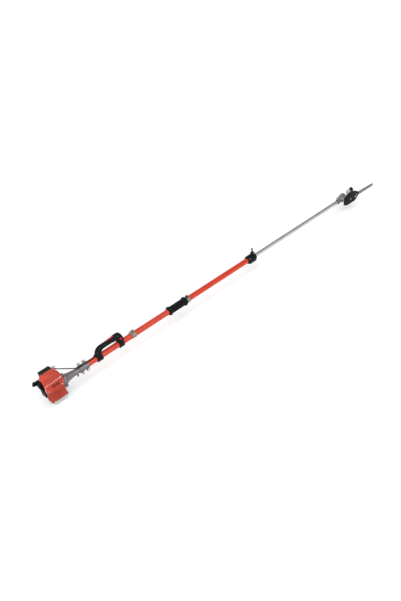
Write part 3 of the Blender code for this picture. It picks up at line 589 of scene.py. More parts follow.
def drawn(name, slot, colour, rough, grain, turned=0.0):
    """Metal brushed, drawn or ground along one axis, with dulled patches."""
    s = Surface(name, slot, Metallic=1.0, Anisotropic=turned)
    tone = s.mixed(shade(colour, 0.86), shade(colour, 1.08), s.spread(s.noise(8, 5), 0.3, 0.7))
    streak = s.spread(s.noise(600, 5, 0.6, stretch=grain), 0.3, 0.7)
    tone = s.mixed(tone, shade(colour, 0.72), s.times(streak, 0.45))
    spots = s.spread(s.noise(90, 8, 0.75), 0.66, 0.78, 0, 0.5)
    s.colour(s.mixed(tone, shade(colour, 0.4), spots))
    s.roughness(s.spread(streak, 0, 1, rough - 0.06, rough + 0.14))
    s.bump(s.noise(800, 4, 0.6, stretch=grain), 0.16, 0.02)
    return s


def plated(name, slot, colour, rough):
    """Zinc-plated or oiled steel with faint colour clouds."""
    s = Surface(name, slot, Metallic=1.0)
    warm = (colour[0] * 1.05, colour[1] * 0.97, colour[2] * 0.8)
    cool = (colour[0] * 0.9, colour[1] * 0.98, colour[2] * 1.08)
    tone = s.mixed(warm, cool, s.spread(s.noise(130, 4, warp=0.8), 0.3, 0.7))
    grime = s.spread(s.noise(260, 8, 0.7), 0.6, 0.78, 0, 0.6)
    tone = s.mixed(tone, shade(colour, 0.3), grime)
    # paler edges: partly wear, partly a painted highlight where the surface turns outwards
    s.colour(s.mixed(tone, shade(colour, 1.5), s.times(s.edges(0.52, 0.6), 0.6)))
    s.roughness(s.spread(s.noise(300, 5), 0.3, 0.7, rough - 0.06, rough + 0.16))
    s.bump(s.noise(1400, 4), 0.25, 0.03)
    return s


def milky(name, slot, colour):
    """Translucent moulded polyethylene."""
    s = Surface(name, slot, Transmission_Weight=0.12, Subsurface_Weight=0.55,
                Subsurface_Scale=0.004, Subsurface_Radius=(1.0, 1.0, 1.0), IOR=1.5)
    tone = s.mixed(shade(colour, 0.9), shade(colour, 1.04), s.spread(s.noise(18, 5), 0.3, 0.7))
    s.colour(s.mixed(tone, (0.62, 0.58, 0.5), s.times(s.spread(s.noise(50, 8, 0.7), 0.52, 0.8), 0.35)))
    s.roughness(s.spread(s.noise(80, 5), 0.3, 0.7, 0.32, 0.5))
    s.bump(s.noise(350, 4), 0.2, 0.05)
    return s


def petrol_liquid():
    """Two-stroke mix, pale red."""
    s = Surface("mixed_petrol", "tank_plastic", Transmission_Weight=0.85, IOR=1.4)
    s.colour(s.mixed((0.75, 0.5, 0.32), (0.85, 0.62, 0.42), s.spread(s.noise(20, 3), 0.3, 0.7)))
    s.roughness(s.spread(s.noise(30, 3), 0.3, 0.7, 0.03, 0.08))
    return s


def felt_pad():
    """Fibrous filter felt."""
    s = Surface("filter_felt", "felt", Sheen_Weight=0.4, Sheen_Roughness=0.5)
    s.colour(s.mixed((0.09, 0.09, 0.085), (0.22, 0.21, 0.2), s.noise(900, 8, 0.8)))
    s.roughness(s.spread(s.noise(400, 4), 0.3, 0.7, 0.85, 0.98))
    s.bump(s.noise(1500, 6, 0.8), 0.8, 0.4)
    return s


def braided_rope():
    """Pale braid of crossing strands."""
    s = Surface("starter_rope", "nylon")
    braid = s.times(s.waves(420, "DIAGONAL"), s.waves(300, "Z"))
    s.colour(s.mixed((0.35, 0.34, 0.31), (0.78, 0.76, 0.7), braid))
    s.roughness(s.spread(braid, 0, 1, 0.85, 0.65))
    s.bump(braid, 0.8, 0.4)
    return s


def pale_floor():
    """Plain floor that glows a little, so that it stays white to its edges."""
    s = Surface("pale_floor", "nylon", Emission_Strength=0.28)
    s.shader.inputs["Emission Color"].default_value = (1.0, 1.0, 1.0, 1.0)
    s.colour(s.mixed((0.76, 0.76, 0.76), (0.79, 0.79, 0.79), s.noise(3, 5)))
    s.roughness(s.spread(s.noise(12, 4), 0.3, 0.7, 0.8, 0.95))
    s.bump(s.noise(60, 4), 0.05, 0.2)
    return s


RED_ORANGE = (0.43, 0.024, 0.003)
PAINT = painted("orange_tube_paint", "orange_paint", RED_ORANGE, 0.24, 0.55, 650)
COVER = painted("orange_cover_plastic", "orange_plastic", RED_ORANGE, 0.26, 0.6, 1500)
# the guard is the cover's orange made darker: painted shade for the dimming of its field of holes
SHADED_GUARD = painted("orange_guard_painted_shade", "orange_plastic", shade(RED_ORANGE, 0.78), 0.3, 0.45, 1500)
RED = painted("red_control_plastic", "red_plastic", (0.42, 0.009, 0.014), 0.34, 0.2, 1300)
BLACK = grained("black_grained_plastic", "black_plastic", (0.004, 0.0048, 0.0055), 0.38, 1500, 0.08)
RUBBER = grained("black_rubber", "rubber", (0.004, 0.004, 0.005), 0.62, 900, 0.12, dusty=0.12)
CAST = cast("die_cast_aluminium", "cast_metal", (0.208, 0.188, 0.189), 0.36)
HEAD_CAST = cast("head_aluminium", "cast_metal", (0.37, 0.365, 0.37), 0.34)
ALUMINIUM = drawn("anodised_tube", "aluminium", (0.60, 0.605, 0.63), 0.25, (0.02, 1, 1), 0.4)
BAR_STEEL = drawn("ground_bar_steel", "steel", (0.25, 0.255, 0.265), 0.30, (0.03, 1, 1), 0.3)
ZINC = plated("zinc_plated_steel", "steel", (0.38, 0.38, 0.39), 0.24)
PASSIVATED = plated("passivated_steel", "steel", (0.25, 0.23, 0.2), 0.28)
OILED = plated("oiled_dark_steel", "dark_steel", (0.16, 0.15, 0.15), 0.36)
NYLON = grained("natural_nylon", "nylon", (0.62, 0.60, 0.53), 0.45, 700, 0.05, dusty=0.15, shine=0.5)
CERAMIC = grained("glazed_ceramic", "ceramic", (0.75, 0.73, 0.68), 0.18, 300, 0.02, dusty=0.1, shine=0.5)
TANK = milky("milky_tank_plastic", "tank_plastic", (0.53, 0.54, 0.53))
PETROL = petrol_liquid()
FELT = felt_pad()
ROPE = braided_rope()


# ---------------------------------------------------------------- screws and small parts

def socket_screw(spot, direction, radius, height, thread=0.0):
    """A cylinder-head screw with a hexagon socket; its head stands out along direction."""
    key = radius * 0.5
    profile = [(0, 0), (0, radius * 0.94), (0.3, radius), (height - 0.6, radius), (height, radius * 0.88),
               (height, key, hexagon), (height * 0.45, key, hexagon), (height * 0.4, 0)]
    if thread:
        profile[:1] = [(-thread, 0), (-thread, radius * 0.55), (0, radius * 0.55)]
    return upright(profile, 36, spot, direction)


def cross_screw(spot, direction, radius, lean=20):
    """A pan-head screw with a cross recess."""
    head = lathe([(0, 0), (0, radius), (radius * 0.3, radius * 0.96), (radius * 0.52, radius * 0.72),
                  (radius * 0.62, radius * 0.4), (radius * 0.64, 0)], 32, "Z", (0, 0))
    recess = []
    for quarter in (0, 90):
        outline = stadium((0, 0), radius * 1.3, radius * 0.26, lean + quarter, 3)
        recess.append(slab(outline, radius * 0.25, radius, "XY"))
    return aim(solid(head, cut=recess), spot, direction)


def hex_nut(spot, direction, flats, height, stud=0.0, washer=1.3):
    """A hexagon nut on a washer, with the end of its stud showing."""
    half = flats / 2
    bore = half * 0.56
    profile = [(0, 0), (0, half * washer + 1), (1.0, half * washer + 1), (1.0, half * 0.98, hexagon),
               (1.4, half, hexagon), (height - 0.5, half, hexagon), (height, half * 0.97)]
    if stud:
        profile += [(height, bore), (height + stud - 0.5, bore), (height + stud, bore * 0.8),
                    (height + stud, 0)]
    else:
        profile += [(height, bore), (height * 0.5, bore), (height * 0.45, 0)]
    return upright(profile, 48, spot, direction)


# ---------------------------------------------------------------- pole

def pole_tubes():
    """Painted outer tube and the bright inner one that slides in it."""
    show("outer_pole", tube(POLE_LOW.x, POLE_HIGH.x, OUTER_R, OUTER_R - 2, 0.5, 96), PAINT, "pole",
         ["outer_tube"])
    low, high = span("inner_tube")
    inner_r = (high.z - low.z) / 2
    show("inner_pole", tube(low.x, high.x, inner_r, inner_r - 1.5, 0.4, 96), ALUMINIUM, "saw_head",
         ["inner_tube"])


# ---------------------------------------------------------------- engine covers

def engine_cover():
    """Orange shroud: upright side, bevelled ridge and a sloping top with cooling slots."""
    low, high = span("engine_cover")
    x0, x1, side_y, split_y, base, crown = low.x, high.x, low.y, high.y, low.z, high.z
    ridge_z = base + 43.7

    def across(back):
        """Its section across the pole, drawn in by back."""
        side = side_y + back
        ridge = arc((side + 15, ridge_z - back), 15, 180, 115, 1)
        return [(side, base - 2 * back), *ridge, (split_y + back, crown - 1.1 * back),
                (split_y + back, base - 2 * back)]

    def plan(back):
        """Its outline seen from above."""
        return [(x0 + back, side_y - 1 + back), (33 - back / 2, side_y - 1 + back), (x1 - back, -44),
                (x1 - back, split_y + 1), (x0 + back, split_y + 1)]

    def front(back):
        """Its outline seen from the side."""
        return [(x0 + back, 90), (x1 - back, 90), (x1 - back, 152), (40 - back, 180 - back),
                (16 - back, 200), (-56 + back, 200), (x0 + back, 168 - back)]

    def body(back):
        """The closed shape, drawn in by back."""
        return solid(slab(across(back), x0 + back, x1 - back, "YZ"),
                     keep=[slab(plan(back), 80, 210, "XY"), slab(front(back), -70, 20, "XZ")])

    shell = raw_object(body(0))
    trim = shell.modifiers.new("round", "BEVEL")
    trim.width = 3.2
    trim.segments = 4
    trim.limit_method = "ANGLE"
    trim.angle_limit = math.radians(18)
    settle(shell)
    outer = bmesh.new()
    outer.from_mesh(shell.data)
    bpy.data.objects.remove(shell)

    flat_cut = [box((x0 - 5, split_y - 0.05, 80), (x1 + 5, split_y + 20, 210)),
                box((x0 - 5, side_y - 5, base - 10), (x1 + 5, split_y + 5, base + 0.05))]
    vents = []
    for k in range(4):
        x = -29 + 11.5 * k
        vents.append(slab(stadium((x, 134.5), 23, 6.4, 90, 6), side_y - 5, side_y + 4, "XZ"))
        rim = stadium((x, 134.5), 25.4, 8.8, 90, 6)
        vents.append(slab(rim, side_y - 5, side_y + 0.8, "XZ"))
    door = box((x0 - 5, -34, 100), (x0 + 5, 20, 171))
    bell = rod((40, 0, AXIS_Z), (60, 0, AXIS_Z), 52, 64)
    # shallow steps pressed into the sloping top, and a joint line above the lower panel
    rise = (crown - ridge_z - 10) / (split_y - side_y - 10)
    steps = []
    for k, end in enumerate((18, 24, 30)):
        y = -34 + 9 * k
        z = ridge_z + 14 + (y - side_y - 12) * rise
        steps.append(shifted(box((-58, y - 1.1, -1.0), (end, y + 1.1, 8), 0.4, 1), z=z))
    seam = box((x0 - 5, side_y - 5, base + 4.2), (x1 + 5, side_y + 0.7, base + 5.2))
    shroud = solid(outer, cut=[*flat_cut, body(WALL), door, bell, *vents, *steps, seam])
    show("engine_shroud", shroud, COVER, "pole", ["engine_cover"])
    # a black sheet behind the cooling slots: painted shade that keeps them dark
    shade_sheet = box((-37, side_y + WALL + 0.1, 118), (14, side_y + WALL + 1.3, 151), 0.3, 1)
    show("vent_shade_sheet", shade_sheet, BLACK, "pole")

    screws = [cross_screw((-62, side_y + 0.1, 114), (0, -1, 0), 4.2),
              cross_screw((26, side_y + 0.1, 114), (0, -1, 0), 4.2, 55),
              cross_screw((x0 + 0.1, -48, 128), (-1, 0, 0), 4.2, 70)]
    show("shroud_screws", joined(screws), ZINC, "pole")


def muffler_guard():
    """Lower orange panel with its field of small cooling holes."""
    low, high = span("muffler_guard")
    body = box(low, (high.x, -20, high.z), 5, 4)
    shell_cut = box((low.x + WALL, low.y + WALL, 15), (high.x - WALL, 0, 120), 2.5, 2)
    open_back = box((low.x - 6, high.y, 20), (high.x + 5, -10, 120))
    tank_step = box((20, -57.5, 20), (high.x + 8, -10, 47))
    bell = rod((25, 0, AXIS_Z), (50, 0, AXIS_Z), 47, 64)
    field = fillet([(-61, 36), (30, 36), (30, 96), (-61, 96)], 6, 4)
    recess = slab(field, low.y - 3, low.y + 0.9, "XZ", 0.5)
    flat_top = box((low.x - 5, low.y - 5, high.z - 0.02), (high.x + 5, 0, high.z + 9))
    holes = []
    for row in range(7):
        for column in range(11 - row % 2):
            x = -56 + 8.2 * column + 4.1 * (row % 2)
            z = 42.5 + 7.9 * row
            holes.append(pin(x, z, low.y - 2, low.y + 6, 2.1, 12))
    guard = solid(body, cut=[shell_cut, open_back, tank_step, bell, recess, flat_top, joined(holes)])
    show("heat_guard", guard, SHADED_GUARD, "pole", ["muffler_guard"])

    foot = slab(fillet([(-78, 57), (-67, 55), (-67, 86), (-73, 86), (-78, 74)], 2.5), -60, -46, "XZ", 1.2)
    show("guard_bracket", solid(foot, cut=[pin(-73, 64, -70, -40, 2.6, 20)]), SHADED_GUARD, "pole")
    screws = []
    for x, lean in ((-50, 10), (20, 50)):
        screws.append(cross_screw((x, low.y + 0.1, 33.5), (0, -1, 0), 3.6, lean))
    show("guard_screws", joined(screws), ZINC, "pole")


def crankcase():
    """Two ribbed halves with their bolt bosses."""
    for node, bolts_x in (("crankcase_rear", -29.0), ("crankcase_front", 24.0)):
        low, high = span(node)
        body = box(low, high, 3, 3)
        ribs = []
        for k in range(4):
            z = 56 + 15 * k
            ribs.append(box((low.x + 2, low.y - 1.8, z), (high.x - 2, high.y + 1.8, z + 2.6), 1.1, 2))
        outer = bolts_x + (1 if bolts_x > 0 else -1)
        for z in (54, 110):
            for y in (-24, 24):
                ribs.append(rod((bolts_x * 0.6, y, z), (outer, y, z), 4.8, 24, 0.6))
        cuts = [rod((-17, 0, AXIS_Z), (17, 0, AXIS_Z), 27.5, 56), rod((0, 0, AXIS_Z), (0, 0, 125), 18.7, 56),
                rod((-60, 0, AXIS_Z), (60, 0, AXIS_Z), 6.4, 24)]
        show(node + "_casting", solid(body, add=ribs, cut=cuts), CAST, "pole", [node])


def muffler():
    """Pressed box with a seam, dents, its flange and the outlet."""
    low, high = span("muffler")
    edge = high.y - 1.5
    shell = box(low, (high.x, edge, high.z), 6, 5)
    flange = pin(0, 133, edge - 1, high.y, 9, 32, 0.4)
    seam = box((low.x - 1.2, -47.2, low.z - 1.2), (high.x + 1.2, -45.2, high.z + 1.2), 1, 2)
    cuts = []
    for x in (-31, -20, -9, 2):
        cuts.append(box((x, low.y - 4, low.z + 7), (x + 4, low.y + 1.1, high.z - 7), 1, 2))
    cuts.append(pin(12, 120, low.y - 3, low.y + 6, 4.2))
    show("muffler_box", solid(shell, add=[flange, seam], cut=cuts), OILED, "pole", ["muffler"])


def cylinder_barrel():
    """Finned barrel with a round bore and the nuts of its studs."""
    low, high = span("cylinder")
    base, top, reach = low.z, high.z, high.x
    profile = [(base, 18.2), (base, 30), (base + 3.7, 30), (base + 4.4, 24), (base + 6.4, 23)]
    for k in range(6):
        z = base + 8.4 + 6.1 * k
        profile += [(z, 23), (z + 0.5, reach - 0.8), (z + 1.1, reach), (z + 1.9, reach),
                    (z + 2.5, reach - 0.8), (z + 3.0, 23)]
    profile += [(top - 5, 23), (top - 1, 22), (top, 20), (top, 5.4), (top - 10, 5.4), (top - 10, 18.2)]
    studs = [rod((x, y, base + 3.9), (x, y, base + 8.2), 3.1, 6) for x in (-18, 18) for y in (-18, 18)]
    barrel = solid(lathe(profile, 96, "Z", (0, 0)), add=studs)
    show("finned_cylinder", barrel, CAST, "pole", ["cylinder"])


def flywheel_rotor():
    """Flywheel with its cooling blades and magnet."""
    rim = lathe([(30, 40.4), (30.8, 41), (43.2, 41), (44, 40.4), (44, 34), (41, 32), (41, 14),
                 (45, 14), (45, 6.3), (31, 6.3), (31, 14), (36, 14), (36, 34), (30, 34)], 128)
    blades = [round_pole(box((31, -0.9, 15), (36.5, 0.9, 33.5), 0.5, 1), 360 * k / 14) for k in range(14)]
    magnet = box((30.5, -7, AXIS_Z + 34.5), (43.5, 7, AXIS_Z + 40), 1, 1)
    show("flywheel_rotor", solid(rim, add=[*blades, magnet]), CAST, "crank", ["flywheel"])


def heat_baffle():
    """Pressed plate behind the holes of the lower panel."""
    plate = box((-65, -45, 47), (33, -43.8, 102), 0.5, 1)
    beads = [box((-60, -46.4, z), (28, -44.4, z + 3), 0.9, 2) for z in (56, 70, 84)]
    tabs = [box((x, -44.6, 50), (x + 12, -33.5, 51.4), 0.4, 1) for x in (-56, 12)]
    show("heat_baffle", solid(plate, add=[*beads, *tabs]), OILED, "pole")


def filter_cover():
    """Black air-filter box on the left of the crown, ribbed, with its knob."""
    low, high = span("filter_cover")
    x0, x1, split_y, side_y, base, crown = low.x, high.x, low.y, high.y, low.z, high.z

    def across(back):
        """Its section across the pole, drawn in by back."""
        return [(split_y - 2 * back, base - 2 * back), (side_y - back, base - 2 * back),
                (side_y - back, crown - 20.5), (side_y - 4 - back / 2, crown - 11.5 - back / 2),
                (side_y - 12, crown - 6.5 - back), (split_y - 2 * back, crown - back)]

    plan = [(x0 - 1, split_y - 1), (x1 + 1, split_y - 1), (x1 + 1, 54), (x1 - 9, 70), (x0 + 9, 70),
            (x0 - 1, 54)]
    outer = solid(slab(across(0), x0, x1, "YZ"), keep=[slab(plan, 90, 210, "XY")], softened=(3.5, 4, 20))
    flat_cut = box((x0 - 5, split_y - 20, 80), (x1 + 5, split_y + 0.05, 210))
    cuts = [flat_cut, slab(across(WALL), x0 + WALL, x1 - WALL, "YZ"),
            box((-90, 0, 100), (-20, 26.5, 168)), rod((0, 0, 100), (0, 0, 184), 33, 64),
            rod((20, 0, AXIS_Z), (40, 0, AXIS_Z), 47, 64)]
    for k in range(5):
        z = 126 + 8 * k
        cuts.append(box((x0 + 9, side_y - 0.9, z), (x1 - 9, side_y + 5, z + 3.2), 0.5, 1))
    for k in range(3):
        y = 22 + 9 * k
        floor = crown - 0.9 - 0.14 * (y - split_y)
        cuts.append(box((x0 + 8, y - 1.2, floor), (x1 - 8, y + 1.2, crown + 5), 0.4, 1))
    show("air_filter_cover", solid(outer, cut=cuts), BLACK, "pole", ["filter_cover"])
    knob = lathe([(side_y - 1, 0), (side_y - 1, 9.5), (side_y + 4, 9.5, flutes(8, 0.14)),
                  (side_y + 5.2, 8.2, flutes(8, 0.14)), (side_y + 5.5, 3), (side_y + 4.4, 0)], 64, "Y",
                 ((x0 + x1) / 2, 116.5))
    show("filter_knob", knob, BLACK, "pole")


def fuel_tank():
    """Milky tank with a moulding seam, the fuel in it and its dark cap."""
    low, high = span("fuel_tank")
    cap_low, cap_high = span("fuel_cap")
    cap_y, cap_z = (cap_low.y + cap_high.y) / 2, (cap_low.z + cap_high.z) / 2
    seam_z = high.z * 0.58
    outline = fillet([(low.x, low.y), (high.x, low.y), (high.x, high.y), (low.x, high.y)], 13, 6)
    seam = slab(inset(outline, -0.5), seam_z - 1.1, seam_z + 1.1, "XY", 0.5, 2)
    filler = rod((high.x - 6, cap_y, cap_z), (high.x + 0.4, cap_y, cap_z), 15.0, 48, 0.8)
    hollow = slab(inset(outline, WALL), WALL, high.z - WALL, "XY", 6, 5)
    mouth = rod((20, cap_y, cap_z), (50, cap_y, cap_z), 9.2, 48)
    tank = solid(slab(outline, 0, high.z, "XY", 8, 6), add=[filler, seam], cut=[hollow, mouth])
    show("fuel_tank_shell", tank, TANK, "pole", ["fuel_tank"])
    level = slab(inset(outline, WALL + 0.4), WALL + 0.4, high.z * 0.5, "XY", 5.5, 4)
    show("petrol", solid(level, cut=[box((-90, -90, high.z * 0.5 - 6), (90, 90, 90))]), PETROL, "pole")

    x0, x1 = cap_low.x, cap_high.x
    ribs = flutes(24, 0.05)
    cap = [(x0, 0), (x0, 8.4), (x0 + 5.2, 8.4), (x0 + 5.3, 13.2), (x0 + 6, 14, ribs), (x1 - 2.2, 14, ribs),
           (x1 - 0.8, 12.6, ribs), (x1 - 0.8, 9.5), (x1 - 1.8, 9), (x1 - 1.8, 0)]
    bar = slab(fillet([(cap_y - 9, cap_z - 2), (cap_y + 9, cap_z - 2), (cap_y + 9, cap_z + 2),
                       (cap_y - 9, cap_z + 2)], 1.9), x1 - 3, x1, "YZ", 0.7)
    show("fuel_filler_cap", solid(lathe(cap, 96, "X", (cap_y, cap_z)), add=[bar]), BLACK, "tank_cap",
         ["fuel_cap"])


ROPE_EYE = (18.0, 152.0)         # y and z of the starter's rope


def starter():
    """Recoil starter: round cup with air slots, rope tower, pull grip and its rope."""
    low, high = span("starter_housing")
    cup_x, back_x, top_z = -77.0, low.x, high.z
    radius = AXIS_Z - low.z
    cup = lathe([(cup_x, 0), (cup_x, radius - 5), (cup_x + 1.5, radius - 1.5), (cup_x + 5, radius),
                 (high.x, radius), (high.x, 0)], 96)
    outline = [(cup_x + 1, 92), (-56, 92), (-56, top_z - 8), (-62, top_z), (back_x + 3, top_z),
               (back_x, top_z - 4), (back_x, 138), (cup_x - 6, 118)]
    tower = slab(fillet(outline, 4, 3), -22, 26, "XZ", 3, 3)
    foot = box((cup_x, -26, 58), (-50, -4, 88), 3, 3)
    cuts = [rod((cup_x + 3, 0, AXIS_Z), (0, 0, AXIS_Z), radius - 3, 64),
            box((-72, 14, AXIS_Z), (-62, 22, top_z - 8)),
            rod((back_x - 5, *ROPE_EYE), (-66, *ROPE_EYE), 3.2, 24)]
    for k in range(10):
        angle = math.radians(36 * k + 200)
        reach = Vector((math.cos(angle), math.sin(angle)))
        spot = reach * 19 + Vector((0, AXIS_Z))
        cuts.append(slab(stadium(spot, 11, 3.4, math.degrees(angle), 4), cup_x - 5, cup_x + 3.5, "YZ"))
    for k in range(4):
        z = 122 + 8 * k
        cuts.append(box((back_x - 5, -16, z), (back_x + 3.2, 6, z + 3), 0.5, 1))
    spots = [(cup_x - 4.5, -17, 118), (cup_x - 4.5, 20, 112), (cup_x - 0.5, -22, 64), (cup_x - 0.5, 19, 60)]
    bosses = [rod(spot, (-62, *spot[1:]), 5) for spot in spots]
    housing = solid(cup, add=[tower, foot, *bosses], melted=(0.9, 4), cut=cuts)
    show("recoil_starter", housing, BLACK, "pole", ["starter_housing"])
    hub = lathe([(cup_x - 1.6, 0), (cup_x - 1.6, 5.5), (cup_x - 0.4, 7), (cup_x + 0.5, 7),
                 (cup_x + 0.5, 0)], 48)
    show("starter_hub", hub, BLACK, "pole")
    screws = [cross_screw((x + GAP, y, z), (-1, 0, 0), 3.4, y) for x, y, z in spots]
    show("starter_screws", joined(screws), ZINC, "pole")

    low, high = span("starter_grip")
    back = high.x
    hook = [(back, 143), (back, 166), (back - 4, 171), (back - 11, 168), (back - 17, 160),
            (back - 21, 149), (back - 20, 145.5), (back - 13, 153), (back - 7, 155),
            (back - 5, 149), (back - 5, 143)]
    grip = solid(slab(fillet(hook, 5, 4), low.y, high.y, "XZ", 3.2, 4),
                 cut=[rod((back - 4, *ROPE_EYE), (back + 3, *ROPE_EYE), 2.6, 20)])
    show("pull_grip_handle", grip, BLACK, "pull_grip", ["starter_grip"])
    bushing = lathe([(back_x + 1, 2.4), (back_x + 1, 4.6), (back_x - GAP / 3, 5.4), (back_x + 3, 3.1),
                     (back_x + 3, 2.4)], 32, "X", ROPE_EYE)
    show("rope_eyelet", bushing, ZINC, "pole")
    stations = (-66, -78, -86, back_x - 0.1, back_x - 0.2, back_x - 3)
    rope = sweep([(x, *ROPE_EYE) for x in stations], 1.7, 12)
    cord = show("starter_rope", rope, ROPE, "")
    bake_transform(cord)


CABLE_ROUTE = [(29.3, 58, 163), (43, 57, 159.5), (66, 46, 142), (88, 31.5, 134), (111, 17, 125.5),
               (135, 2, 117), (156, -9, 111.8), (178, -13, 110.5), (205, -13.5, 110.5),
               (233, -13, 109.6), (262, -9, 109), (280, -5.5, 109.2), (291.6, -4, 109.4)]


def throttle_cable():
    """Bowden cable along the neck, with its bright adjuster and rubber boots."""
    route = smooth_route(CABLE_ROUTE, 10)
    show("throttle_conduit", sweep(route, 3.0, 16), RUBBER, "pole", ["throttle_cable"])
    start, ahead = route[0], (route[6] - route[0]).normalized()
    turn = [(0, 0), (0, 3.9), (0.5, 4.3), (1, 4.3)]
    for k in range(9):
        turn += [(2 + 1.3 * k, 3.6), (2.6 + 1.3 * k, 4.2)]
    turn += [(15, 3.4), (15.2, 5.6, hexagon), (20, 5.6, hexagon), (20.2, 4.1), (34, 3.9), (36, 3.4), (36, 0)]
    show("cable_adjuster", upright(turn, 48, start - ahead * 3, ahead), ZINC, "pole")
    end, back = route[-1], (route[-7] - route[-1]).normalized()
    boot = [(0, 0), (0, 4.8), (2, 5.2), (6, 4.8), (7, 4.0), (10, 4.5), (11, 3.8), (14, 4.2), (15, 3.5),
            (20, 3.3), (20, 0)]
    show("cable_boot", upright(boot, 32, end, back), RUBBER, "pole")


# ---------------------------------------------------------------- coupling

def clutch_housing():
    """Trumpet-shaped casting with ribs, screw lugs and a small lug under its neck."""
    low, high = span("clutch_housing")
    x0, x1 = low.x, high.x
    bell = [(x0, 0), (x0, 38.5), (x0 + 4, 38.5), (x0 + 6, 37), (67, 36), (71, 30.5), (77, 27.5),
            (84, 25), (94, 22.8), (104, 21), (122, 19.2), (140, 18), (x1 - 6, 18), (x1 - 5, 20),
            (x1, 20), (x1, 0)]
    parts = []
    screws = []
    for k in range(4):
        angle = math.radians(45 + 90 * k)
        y, z = 41 * math.cos(angle), AXIS_Z + 41 * math.sin(angle)
        parts.append(rod((x0, y, z), (64, y, z), 6.4, 24))
        screws.append(socket_screw((64.1, y, z), (1, 0, 0), 4.2, 4.2))
    rib = [(60, 20), (60, 37), (70, 34), (84, 28), (104, 23.2), (128, 20), (128, 12)]
    parts += [round_pole(slab(rib, -1.4, 1.4, "XZ"), 22.5 + 45 * k) for k in range(8)]
    parts.append(box((141, -20, 60), (152, -9, 76), 2, 2))
    parts.append(box((58, -6, AXIS_Z + 30), (70, 6, AXIS_Z + 44), 2, 2))
    inner = lathe([(x0 - 2, 0), (x0 - 2, 32.5), (67.5, 32.5), (69, 26), (84, 20), (104, 15), (140, 10),
                   (x1 + 2, 10), (x1 + 2, 0)], 64)
    window = stadium((60, 0), 13, 7, 90, 6)
    windows = [round_pole(slab(window, 26, 46, "XY"), angle + 22) for angle in (0, 90, 180, 270)]
    hole = rod((146.5, -14.5, 50), (146.5, -14.5, 90), 2.4, 20)
    housing = solid(lathe(bell, 96), add=parts, melted=(0.9, 4), cut=[inner, hole, *windows])
    show("clutch_bell_housing", housing, CAST, "pole", ["clutch_housing"])
    screws.append(socket_screw((146.5, -14.5, 60.2), (0, 0, -1), 4.0, 4.5, 16))
    screws.append(socket_screw((64, 0, AXIS_Z + 44.1), (0, 0, 1), 3.4, 3.6))
    show("housing_screws", joined(screws), ZINC, "pole")


def tube_clamp():
    """Two-part clamp on the end of the pole, turned about its axis, with four bolts."""
    low, high = span("clamp_near")
    x0, x1 = low.x, high.x
    roll = Matrix.Rotation(-math.radians(38), 4, "X")
    turn = Matrix.Translation((0, 0, AXIS_Z)) @ roll @ Matrix.Translation((0, 0, -AXIS_Z))
    spots = [(x, AXIS_Z + sign * 29) for x in (184.0, 218.0) for sign in (-1, 1)]
    for name, side in (("clamp_near", -1), ("clamp_far", 1)):
        body = lathe([(x0, 0), (x0, 22), (x0 + 1.5, 23.5), (x0 + 5, 23.5), (x0 + 7, 22.4), (x1 - 7, 22.4),
                      (x1 - 5, 23.5), (x1 - 1.5, 23.5), (x1, 22), (x1, 0)], 96)
        ears = []
        for x, z in spots:
            ears.append(pin(x, z, -12, 12, 8.0, 32, 1))
            ears.append(box((x - 7, -11, min(z, AXIS_Z)), (x + 7, 11, max(z, AXIS_Z)), 2, 2))
        ears.append(box((196, -25.5, AXIS_Z - 12), (206, 25.5, AXIS_Z + 12), 2, 2))
        bore = rod((x0 - 5, 0, AXIS_Z), (x1 + 5, 0, AXIS_Z), OUTER_R + GAP, 96)
        other = box((x0 - 5, min(0, side * -40) - 0.6 * (side < 0), AXIS_Z - 60),
                    (x1 + 5, max(0, side * -40) + 0.6 * (side > 0), AXIS_Z + 60))
        holes = [pin(x, z, -30, 30, 3.3, 20) for x, z in spots]
        half = solid(body, add=ears, melted=(0.9, 4), cut=[bore, other, *holes])
        show(name + "_casting", moved(half, turn), CAST, "pole", [name])
    for number, (x, z) in enumerate(spots, start=1):
        washer = upright([(0, 3.2), (0, 6.6), (0.9, 6.6), (0.9, 3.2)], 32, (x, -12, z), (0, -1, 0))
        bolt = joined([socket_screw((x, -12.9, z), (0, -1, 0), 5.4, 5.4, 24), washer])
        show(f"clamp_screw_{number}", moved(bolt, turn), ZINC, "pole", [f"clamp_bolt_{number}"])


# ---------------------------------------------------------------- handle

HANDLE_SCREWS = ((306, 118), (330, 140), (372, 140), (464, 148), (311, 62), (475, 62))
SCREW_FLOOR = 9.4                # y of the screws' heads, from the handle's middle
BUTTON_HOLE = (479, 122)         # x and z of the stop button


